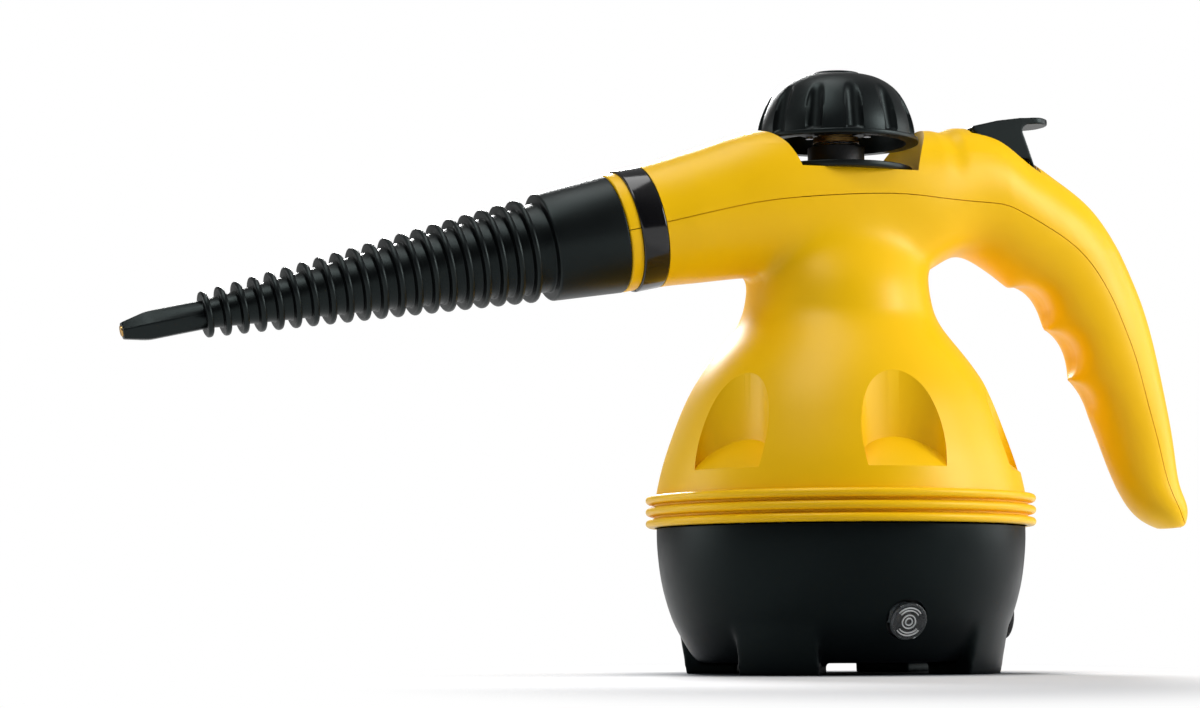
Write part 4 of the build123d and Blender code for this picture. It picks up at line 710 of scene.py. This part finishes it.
def bowlProfile(inset, low):
    walk = np.arange(len(bowl["heights"]), dtype=float)
    wanted = np.linspace(0, walk[-1], 40)
    span = bowl["rim"] - low
    radii = smoothLine(walk, np.array(bowl["radii"]) * bowl["radius"] - inset, wanted)
    heights = low + span * smoothLine(walk, np.array(bowl["heights"]), wanted)
    return list(zip(radii, heights))


def footPiece(turn):
    rings = []
    for a in np.linspace(-bowl["footArc"] / 2, bowl["footArc"] / 2, 17):
        way = radians(turn + a)
        rings.append([(r * cos(way), r * sin(way), z) for r, z in (
            (bowl["footInner"], 0), (bowl["footLow"], 0), (bowl["footHigh"], bowl["footRise"]),
            (bowl["footInner"], bowl["footRise"]))])
    return ringSkin("foot", rings)


def basePiece():
    rim, radius, floor, wall = bowl["rim"], bowl["radius"], bowl["floor"], bowl["wall"]
    turns = [45 + number * 360 / bowl["footCount"] for number in range(bowl["footCount"])]
    outside = [(0, rim), (radius, rim), *bowlProfile(0, floor), (0, floor)]
    base = turnedPiece("baseShell", outside, 200, closed=False)
    for turn in turns:
        combine(base, footPiece(turn), "UNION")
    voxelSkin(base, bowl["voxel"])
    smoothed(base, bowl["softRounds"])
    height = vertexSpots(base)[:, 2] / mm
    weights = slide(height, *bowl["blendLow"]) * slide(height, *bowl["blendHigh"])
    blendSmoothed(base, weights, bowl["blendRounds"], 10)
    top, lipRadius, lipHigh = rim - bowl["lipDrop"], radius - 0.02, rim - 0.05
    drill(base, past, top, past)
    lip = rounded([
        (radius - 3, top - 1), (lipRadius, top - 1), (lipRadius, lipHigh, 0.5), (bowl["lipInner"], lipHigh)])
    combine(base, turnedPiece("lip", lip, 200), "UNION")
    inTop = bowl["insideTop"]
    inside = [(0, inTop), (radius - wall, inTop), *bowlProfile(wall, floor + wall), (0, floor + wall)]
    combine(base, turnedPiece("bowlInside", inside, 160, closed=False))
    for way in (radians(turn) for turn in turns):
        spot = shifted(bowl["towerRing"] * cos(way), bowl["towerRing"] * sin(way))
        drill(base, bowl["tunnelRadius"], *bowl["tunnelCut"], spot, 48)
    drill(base, bowl["lampRadius"], *bowl["lampCut"], lampFrame)
    drill(base, bowl["inletRadius"], *bowl["inletCut"], inletFrame)
    return base


base = basePiece()
finishPiece(base, "base", "base_shell", "shadedBlackBowl", "base_shell", sharp=38)
print("stage: base formed,", len(base.data.polygons), "faces")

# Nozzle: taper, twenty round-edged rings on a narrowing core, hexagonal shank and coned tip
nozzle = {
    "spigotEnd": -22.0, "spigot": 13.0, "taperLow": 9.8, "taperEnd": 37.0,
    "taperBack": 22.2, "taperFront": 20.1,
    "finCount": 20, "finFirst": 44.6, "finLast": 165.0, "finFirstRadius": 19.3, "finLastRadius": 8.4,
    "finThick": 2.3, "finDepth": 3.3, "finRound": 1.15, "finFoot": 0.5, "flatEase": 1.125,
    "shankHalf": 5.0, "shankEnd": 186.6, "tip": 195.6, "tipRadius": 2.95,
    "bore": 3.4, "boreFrom": -30.0, "jetRadius": 2.05, "jetBore": 0.7, "jetDepth": 8.0, "spigotBore": 8.0,
    "segments": 120,
}


def finRadius(s):
    slope = (nozzle["finLastRadius"] - nozzle["finFirstRadius"]) / (nozzle["finLast"] - nozzle["finFirst"])
    return nozzle["finFirstRadius"] + slope * (s - nozzle["finFirst"])


def nozzlePiece():
    thick, depth, edge, foot = nozzle["finThick"], nozzle["finDepth"], nozzle["finRound"], nozzle["finFoot"]
    low, end, first, last = nozzle["taperLow"], nozzle["taperEnd"], nozzle["finFirst"], nozzle["finLast"]
    half, tip, tipRadius = nozzle["shankHalf"], nozzle["tip"], nozzle["tipRadius"]
    corners = [(nozzle["spigot"], nozzle["spigotEnd"]), (nozzle["spigot"], low),
               (nozzle["taperBack"], low, 0.6), (nozzle["taperFront"], end, 1.0),
               (finRadius(end) - depth, end, 0.5)]
    for number in range(nozzle["finCount"]):
        s = first + number * (last - first) / (nozzle["finCount"] - 1)
        top = finRadius(s)
        corners += [(top - depth, s - thick / 2, foot), (top, s - thick / 2, edge),
                    (top, s + thick / 2, edge), (top - depth, s + thick / 2, foot)]
    start, end = last + thick / 2 + 0.4, nozzle["shankEnd"]
    shank = [(half, start), (half, end, 2.0), (tipRadius, tip, 0.6), (0.5, tip)]
    path = [(r, s, 0.0) for r, s in rounded(corners, 4, closed=False)]
    path += [(r, s, 1.0) for r, s in rounded(shank, 4, closed=False)]
    rings = []
    for r, s, flat in path:
        ring = []
        for a in circle(nozzle["segments"]):
            fold = (a + pi / 6) % (pi / 3) - pi / 6
            hexagon = min(r / cos(fold), r * nozzle["flatEase"])
            reach = r + (hexagon - r) * flat
            ring.append((reach * cos(a), reach * sin(a), s))
        rings.append(ring)
    piece = ringSkin("nozzleBody", rings, spoutFrame)
    jetStart = tip - nozzle["jetDepth"]
    drill(piece, nozzle["jetRadius"], jetStart, tip + 4, spoutFrame, 48)
    drill(piece, nozzle["bore"], nozzle["boreFrom"], jetStart - 0.001, spoutFrame, 48)
    drill(piece, nozzle["spigotBore"], nozzle["boreFrom"], 2, spoutFrame, 72)
    return piece


def jetPiece():
    radius, bore = nozzle["jetRadius"] - 0.05, nozzle["jetBore"]
    low, high = nozzle["tip"] - nozzle["jetDepth"], nozzle["tip"] + 0.5
    corners = [(bore, low), (radius, low), (radius, high, 0.35), (bore, high, 0.3)]
    return turnedPiece("jetTip", rounded(corners), 64, spoutFrame)


body = nozzlePiece()
finishPiece(body, "nozzle", "nozzle_cone", "blackSatin", "nozzle_cone", sharp=50)
finishPiece(jetPiece(), "nozzle", "nozzle_jet", "turnedBrass", "nozzle_jet")
print("stage: nozzle turned,", len(body.data.polygons), "faces")

# Glossy band round the end of the spout, split underneath
band = {"seat": 20.55, "radius": 23.0, "half": 5.0, "split": 1.2, "edge": 0.8}


def bandPiece():
    seat, radius, half, edge = band["seat"], band["radius"], band["half"], band["edge"]
    slit = band["split"] / 2
    piece = turnedPiece("clampBand", rounded([
        (seat, -half), (radius, -half, edge), (radius, half, edge), (seat, half)]), 180, spoutFrame)
    outline = [(-radius - 3, -slit), (-radius + 5, -slit), (-radius + 5, slit), (-radius - 3, slit)]
    combine(piece, slabPiece("bandSplit", outline, -half - 4, half + 4, spoutFrame))
    return piece


finishPiece(bandPiece(), "base", "clamp_ring", "blackGloss", "clamp_ring")

# Fluted dome of the cap, hollow under its rim
cap = {
    "rimRadius": 31.4, "rimLow": 200.6, "rimHigh": 202.4, "skirt": 30.0, "top": 226.8, "wall": 3.4,
    "heights": (0.124, 0.265, 0.502, 0.739, 0.894, 0.984), "radii": (1.0, 0.985, 0.918, 0.800, 0.644, 0.450),
    "rimInner": 10.0, "rimRound": 0.7, "discRadius": 9.4, "discThick": 1.3,
    "flutes": 12, "fluteRadius": 3.3, "fluteLow": 31.2, "fluteHigh": 27.1,
    "fluteTop": 220.0, "fluteTurn": -7.5, "fluteEdge": 1.3, "fluteIn": 0.9, "fluteFrom": 12.0,
    "hub": 14.5, "hubBore": 11.4, "hubLow": 206.5,
}


def softLeast(a, b, width):
    overlap = max(width - abs(a - b), 0) / width
    return min(a, b) - overlap * overlap * width / 4


def domePath():
    rise = cap["top"] - cap["rimLow"]
    radii = [cap["skirt"], *(cap["skirt"] * share for share in cap["radii"]), cap["discRadius"] + 0.4]
    heights = [cap["rimHigh"], *(cap["rimLow"] + rise * share for share in cap["heights"]), cap["top"]]
    walk = np.concatenate(([0], np.cumsum(np.hypot(np.diff(radii), np.diff(heights)))))
    wanted = np.linspace(0, walk[-1], 60)
    return list(zip(smoothLine(walk, radii, wanted), smoothLine(walk, heights, wanted)))


# How far out the dome reaches at a turn, a radius and a height: r, or less in a flute
def fluteReach(turn, r, z):
    rise = z - cap["rimHigh"]
    axis = cap["fluteLow"] + (cap["fluteHigh"] - cap["fluteLow"]) * rise / (cap["fluteTop"] - cap["rimHigh"])
    start = np.clip(rise / cap["fluteIn"], 0, 1)
    if start == 0 or r <= cap["fluteFrom"]:
        return r
    fold = (turn + pi / cap["flutes"]) % (2 * pi / cap["flutes"]) - pi / cap["flutes"]
    inside = cap["fluteRadius"] ** 2 - (axis * sin(fold)) ** 2
    near = axis * cos(fold) - sqrt(inside) if inside > 0 else axis + 5 * (-inside) ** 0.5
    return r + (softLeast(r, near, cap["fluteEdge"]) - r) * start


def capPiece():
    low, high, top, wall, hub = cap["rimLow"], cap["rimHigh"], cap["top"], cap["wall"], cap["hub"]
    radius, edge = cap["rimRadius"], cap["rimRound"]
    rim = [(cap["rimInner"], low), (radius, low, edge), (radius, high, edge),
           (cap["skirt"] + 0.3, high + 0.05, 0.2)]
    rings = []
    for r, z in rounded(rim, 4, closed=False) + domePath():
        reaches = [(fluteReach(a - radians(-90 + cap["fluteTurn"]), r, z), a) for a in circle(360)]
        rings.append([(reach * cos(a), reach * sin(a), z) for reach, a in reaches])
    piece = ringSkin("capDome", rings)
    inner = [(r - wall, z - wall * (z - low) / (top - low)) for r, z in domePath() if r - wall > hub + 0.5]
    cavity = [(hub, low - 1), (inner[0][0], low - 1), *inner, (hub, inner[-1][1])]
    combine(piece, turnedPiece("capCavity", cavity, 180))
    drill(piece, hub + 0.01, low - 1, cap["hubLow"])
    drill(piece, cap["hubBore"], low - 1, top - wall)
    return piece


def discPiece():
    radius, top, thick = cap["discRadius"], cap["top"], cap["discThick"]
    high = top + thick
    corners = [(radius, top), (radius, high - 0.2, 0.7), (6.5, high - 0.05, 0.5), (0, high)]
    return turnedPiece("capDisc", [(0, top), *rounded(corners, 4, closed=False)], 120, closed=False)


dome = capPiece()
finishPiece(dome, "knob", "cap_knob", "blackSatin", "cap_knob", sharp=40)
finishPiece(discPiece(), "knob", "cap_top_disc", "blackSatin", "cap_top_disc", sharp=45)
print("stage: cap formed,", len(dome.data.polygons), "faces")

# Dish under the cap, and the boss round the filler's mouth
dish = {"low": 188.5, "radius": 29.0, "bore": 9.1, "floor": 190.5, "rim": 190.9, "rimThick": 1.6,
        "boss": 10.8, "bossTop": 199.5}


def dishPieces():
    low, floor, rim, radius, bore = dish["low"], dish["floor"], dish["rim"], dish["radius"], dish["bore"]
    thick, boss, top = dish["rimThick"], dish["boss"], dish["bossTop"]
    plate = turnedPiece("dishPlate", rounded([
        (bore, low), (radius - 0.6, low, 0.3), (radius, low + 0.8, 0.3), (radius, rim, 0.5),
        (radius - thick, rim, 0.4), (radius - 2 * thick, floor, 0.5), (bore, floor)]), 160)
    finishPiece(plate, "base", "filler_dish", "blackSatin", "filler_dish", sharp=45)
    collar = turnedPiece("fillerBoss", rounded([
        (bore, floor - 0.2), (boss + 0.8, floor - 0.2), (boss, floor + 0.9, 0.5),
        (boss, top, 0.5), (bore, top, 0.3)]), 120)
    finishPiece(collar, "base", "filler_dish", "blackCoarse", sharp=45)


dishPieces()

# Trigger: thin thumb pad on a fin with a hollowed rear, rocking on its pin
lever = {
    "pivot": (57.0, 203.0), "hub": 3.6, "pinRadius": 1.5, "nose": (69.5, 197.5), "noseRadius": 1.5,
    "half": 9.8, "planStart": 50.0, "planEnd": 79.0, "planRound": 8.2,
    "padTop": ((52.6, 208.8), (63.0, 211.4), (72.4, 212.8), (81.0, 213.4), (87.2, 213.1)),
    "padLow": ((87.2, 211.0), (81.0, 210.8), (72.4, 210.2), (63.0, 208.7), (52.6, 207.0)),
    "fin": ((53.6, 207.2), (53.9, 203.0), (57.0, 199.4), (66.5, 197.5), (76.0, 196.9), (77.2, 194.6),
            (78.6, 193.6), (78.1, 195.0), (75.6, 202.0), (73.5, 207.6), (73.9, 209.3), (76.2, 210.9),
            (66.0, 210.4)),
    "voxel": 0.36, "softRounds": 7,
}


def triggerPiece():
    half, end, reach = lever["half"], lever["planEnd"], lever["planRound"]
    hubFrame, noseFrame = (shifted(x, 0, z) @ sidePlane for x, z in (lever["pivot"], lever["nose"]))
    pad = slabPiece("triggerLever", [*lever["padTop"], *lever["padLow"]], -half, half, sidePlane)
    plan = [(lever["planStart"], -half), (end, -half)]
    plan += [(end + reach * sin(a), -half * cos(a)) for a in np.linspace(0, pi, 25)[1:-1]]
    plan += [(end, half), (lever["planStart"], half)]
    combine(pad, slabPiece("padPlan", plan, 200, 220), "INTERSECT")
    combine(pad, slabPiece("fin", lever["fin"], -half, half, sidePlane), "UNION")
    combine(pad, roundTool("hub", lever["hub"], -half, half, hubFrame, 64), "UNION")
    combine(pad, roundTool("nose", lever["noseRadius"], -half, half, noseFrame, 48), "UNION")
    voxelSkin(pad, lever["voxel"])
    smoothed(pad, lever["softRounds"])
    drill(pad, lever["pinRadius"] + 0.05, -half - 4.2, half + 4.2, hubFrame, 48)
    return pad


finishPiece(triggerPiece(), "trigger", "trigger", "blackSatin", "trigger", sharp=50)
print("stage: dish and trigger formed")

# Lens: a bezel, two pairs of arc ribs and two inner rings over the clear disc; and the gland at the back
lens = {"radius": 7.0, "flange": 1.0, "depth": 6.2, "bezel": 6.6, "rings": (1.3, 2.5), "arcs": (4.2, 5.2),
        "arcSpan": 104.0, "ribHalf": 0.24, "ribHeight": 0.5, "steps": 64}
gland = {"bore": 3.6, "stem": 7.0, "stemEnd": -14.0, "flange": 9.5, "flangeHigh": 2.0, "crown": (4.2, 2.6)}


# A rib from one angle to another, or a whole ring where whole is set
def ribPiece(name, radius, start, end, whole=False):
    steps, half, low = lens["steps"], lens["ribHalf"], lens["flange"] - 0.15
    section = ((-half, 0), (-half * 0.6, lens["ribHeight"]), (half * 0.6, lens["ribHeight"]), (half, 0))
    angles = np.linspace(radians(start), radians(end), steps + (0 if whole else 1), endpoint=not whole)
    rings = [[((radius + u) * cos(a), (radius + u) * sin(a), low + v) for u, v in section] for a in angles]
    if not whole:
        return ringSkin(name, rings, lampFrame)
    points = [p for ring in rings for p in ring]
    return newPiece(name, points, bandFaces(steps, len(section), closed=True), lampFrame)


def lensPiece():
    radius, bezel, high, low = lens["radius"], lens["bezel"], lens["flange"], -lens["depth"]
    return turnedPiece("lensDisc", [(0, low)] + rounded([
        (radius - 1.2, low, 0.3), (radius - 1.2, -0.2), (radius, -0.2, 0.2), (radius, high, 0.4),
        (bezel - 0.6, high, 0.2), (bezel - 0.9, high - 0.35, 0.2), (0, high - 0.3)], 4, closed=False),
        120, lampFrame, closed=False)


def glandPiece():
    bore, stem, flange, high = gland["bore"], gland["stem"], gland["flange"], gland["flangeHigh"]
    return turnedPiece("inletGland", rounded([
        (bore, gland["stemEnd"]), (stem, gland["stemEnd"], 0.5), (stem, 0), (flange, 0), (flange, high, 0.9),
        (*gland["crown"], 0.5), (bore, high)], 4), 96, inletFrame)


# Disc tinted dark as painted shade; ribs in a paler copy of the moulding as painted highlight
finishPiece(lensPiece(), "base", "indicator_lens", "paintedShadeLens", "indicator_lens", sharp=45)
ribs = [(f"lensRing{number}", radius, 0, 360, True) for number, radius in enumerate(lens["rings"])]
ribs += [(f"lensArc{middle}", radius, middle - lens["arcSpan"] / 2, middle + lens["arcSpan"] / 2)
         for middle in (90, 270) for radius in lens["arcs"]]
for rib in ribs:
    finishPiece(ribPiece(*rib), "base", "indicator_lens", "paintedHighlightRidge", sharp=60)
finishPiece(glandPiece(), "base", "cord_gland", "blackRubber", "cord_gland", sharp=45)
print("stage: lens and gland turned")

# Springs as coils; each row names the joint that presses it
springs = (
    # node, piece, body, joint, x, outer radius, wire, low end, high end, turns, fixed end, share left
    ("cap_spring", "capSpring", "core", "cap_press", 0, 6.0, 1.2, 211.0, 223.05, 6.0, 211.0, 0.67),
    ("relief_spring", "reliefSpring", "core", "relief_lift", 0, 2.7, 1.0, 190.15, 206.95, 9.0, 206.95, 0.94),
    ("valve_spring", "valveSpring", "base", "valve_press", 69.5, 4.2, 0.8, 189.0, 194.1, 3.0, 189.0, 0.5),
)


def coilPiece(name, middle, outer, wire, low, high, turns):
    steps, half, rise = int(turns * 32), wire / 2, high - low - wire
    rings = []
    for n in range(steps + 1):
        turn = turns * n / steps
        a = 2 * pi * turn
        height = low + half + np.interp(
            turn, (0, 0.8, turns - 0.8, turns), (0, wire * 0.9, rise - wire * 0.9, rise))
        spots = [(outer - half + half * cos(b), height + half * sin(b)) for b in circle(12)]
        rings.append([(reach * cos(a), reach * sin(a), z) for reach, z in spots])
    return ringSkin(name, rings, shifted(middle))


for node, name, body, joint, middle, outer, wire, low, high, turns, fixed, left in springs:
    coil = coilPiece(name, middle, outer, wire, low, high, turns)
    finishPiece(coil, body, node, "brightSteel", node, sharp=60)
    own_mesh(coil)

# Handle screws sunk, and the finish of every carried piece that keeps its own mesh
carried = {
    "blackCoarse": ("spout_socket", "lamp_holder"),
    "blackSatin": ("cap_retainer", "latch_ring", "terminal_block"),
    "redRubber": ("boiler_gasket", "cap_seal", "outlet_seal"),
    "turnedBrass": ("cap_core", "relief_plug", "filler_neck", "outlet_nipple", "valve_body", "valve_gland"),
    "brightSteel": ("relief_ball", "trigger_pin", "valve_plunger", "nozzle_liner", "cap_washer"),
    "drawnSteel": ("base_screws", "dish_screws", "boiler_bolts", "boiler_bracket", "cap_screws",
                   "heating_element", "steam_tube_in", "steam_tube_out", "thermal_cutoff"),
    "castAluminium": ("boiler_lower", "boiler_upper"),
    "paleCeramic": ("thermostat",),
    "feltJacket": ("insulation_jacket",),
    "neonGlass": ("neon_lamp",),
}
sunkScrews = copyOf(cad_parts["handle_screws"], "sunkScrews")
sunkScrews.data.transform(shifted(handleScrew["sunk"]))
finishPiece(sunkScrews, "base", "handle_screws", "drawnSteel", "handle_screws")
for finish, nodes in carried.items():
    for node in nodes:
        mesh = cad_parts[node].data
        mesh.materials.clear()
        mesh.materials.append(finishes[finish])
print("stage: springs coiled, carried pieces finished")

# Floor, background and lamps
studio = {
    # Reach, levels and navy colour of the painted contact shadow on the floor
    "paintedShadowReach": 0.06, "paintedShadowDark": 0.30, "paintedShadowPale": 0.92, "paintedShadowColour": (0.030, 0.042, 0.060),
    "floorColour": (0.60, 0.605, 0.62), "patchPlace": (-0.04, -0.10, 0), "patchSize": (0.115, 0.30, 1.0),
    "fadeStart": 0.75, "fadeEnd": 1.5, "floorEdge": 4000.0,
    "frontDark": 0.02, "around": 0.25, "frontStart": 0.25, "frontFull": 0.80, "frontTurn": 17.3,
    "lamps": (
        # name, place, size x, size y, watts
        ("leftPanel", (-0.50, -0.40, 1.15), 0.5, 0.5, 4.5),
        ("rightPanel", (1.10, -0.80, 0.62), 0.6, 0.6, 14.0),
        ("leftStrip", (-1.10, 0.55, 0.30), 0.7, 0.6, 3.5),
        ("rightStrip", (1.20, -0.10, 0.32), 0.7, 0.6, 4.0),
        ("topPanel", (-0.10, 0.05, 1.30), 0.7, 0.5, 4.0),
        ("backPanel", (0.10, 1.15, 0.70), 0.4, 0.3, 22.0),
    ),
}


# Pale floor whose colour ambient occlusion darkens to navy near the part, a painted contact shadow that also
# holds back its glow; past a patch round the part it is white to all but diffuse rays
def floorFinish():
    material, tree, shader, place = nodeSet("paleFloor")
    nearness = addNode(tree, "AmbientOcclusion", {"Distance": studio["paintedShadowReach"]}).outputs["AO"]
    low, high = studio["paintedShadowDark"], studio["paintedShadowPale"]
    paintedShadow = spanNode(tree, nearness, low, high, interpolation="SMOOTHSTEP")
    shade = addNode(tree, "Mix", {}, data_type="RGBA")
    setInputs(tree, shade, {
        "Factor": paintedShadow, "A": (*studio["paintedShadowColour"], 1), "B": (*studio["floorColour"], 1)})
    setInputs(tree, shader, {
        "Roughness": 0.9, "Base Color": shade.outputs["Result"],
        "Normal": bumpNode(tree, noiseNode(tree, place, 2.5, 2), 0.02)})
    patch = addNode(tree, "Mapping", {
        "Vector": place, "Location": studio["patchPlace"], "Scale": studio["patchSize"],
        "Rotation": (0, 0, -radians(studio["frontTurn"]))}, vector_type="TEXTURE").outputs["Vector"]
    distance = addNode(tree, "VectorMath", {0: patch}, operation="LENGTH").outputs["Value"]
    fade = spanNode(tree, distance, studio["fadeStart"], studio["fadeEnd"], interpolation="SMOOTHSTEP")
    rays = addNode(tree, "LightPath", {})
    seen = rays.outputs["Is Camera Ray"]
    for other in ("Is Glossy Ray", "Is Transmission Ray"):
        seen = addNode(tree, "Math", {0: seen, 1: rays.outputs[other]}, operation="MAXIMUM").outputs["Value"]
    # The painted shadow also dims the floor's white glow
    for factor in (fade, paintedShadow):
        seen = addNode(tree, "Math", {0: seen, 1: factor}, operation="MULTIPLY").outputs["Value"]
    glow = addNode(tree, "Emission", {})
    blend = addNode(tree, "MixShader", {
        "Fac": seen, 1: shader.outputs["BSDF"], 2: glow.outputs["Emission"]})
    setInputs(tree, tree.nodes["Material Output"], {"Surface": blend.outputs["Shader"]})
    return material


edge = studio["floorEdge"]
corners = [(-edge, -edge, 0), (edge, -edge, 0), (edge, edge, 0), (-edge, edge, 0)]
floor = newPiece("studioFloor", corners, [(0, 1, 2, 3)])
floor.data.materials.append(floorFinish())

# The world is white to the camera; to other rays it is dim, and darkest in front of the part
world = bpy.data.worlds.new("studioWorld")
scene.world = world
world.use_nodes = True
tree = world.node_tree
front = radians(studio["frontTurn"])
heading = addNode(tree, "TexCoord", {}).outputs["Generated"]
facing = addNode(tree, "VectorMath", {0: heading, 1: (-sin(front), -cos(front), 0)}, operation="DOT_PRODUCT")
around = spanNode(tree, facing.outputs["Value"], studio["frontStart"], studio["frontFull"],
                  studio["around"], studio["frontDark"], "SMOOTHSTEP")
cameraRay = addNode(tree, "LightPath", {}).outputs["Is Camera Ray"]
strength = addNode(tree, "Mix", {"Factor": cameraRay, "A": around, "B": 1.0}, data_type="FLOAT")
setInputs(tree, tree.nodes["Background"], {"Strength": strength.outputs["Result"], "Color": (1, 1, 1, 1)})

for name, place, sizeX, sizeY, power in studio["lamps"]:
    lamp = bpy.data.lights.new(name, "AREA")
    lamp.shape = "RECTANGLE"
    lamp.size, lamp.size_y = sizeX, sizeY
    lamp.energy = power
    holder = bpy.data.objects.new(name, lamp)
    holder.location = place
    holder.visible_camera = False
    holder.rotation_euler = (Vector((0, 0, 0.10)) - Vector(place)).to_track_quat("-Z", "Y").to_euler()
    scene.collection.objects.link(holder)

scene.view_settings.view_transform = "Standard"
print("stage: floor, background and lamps placed")
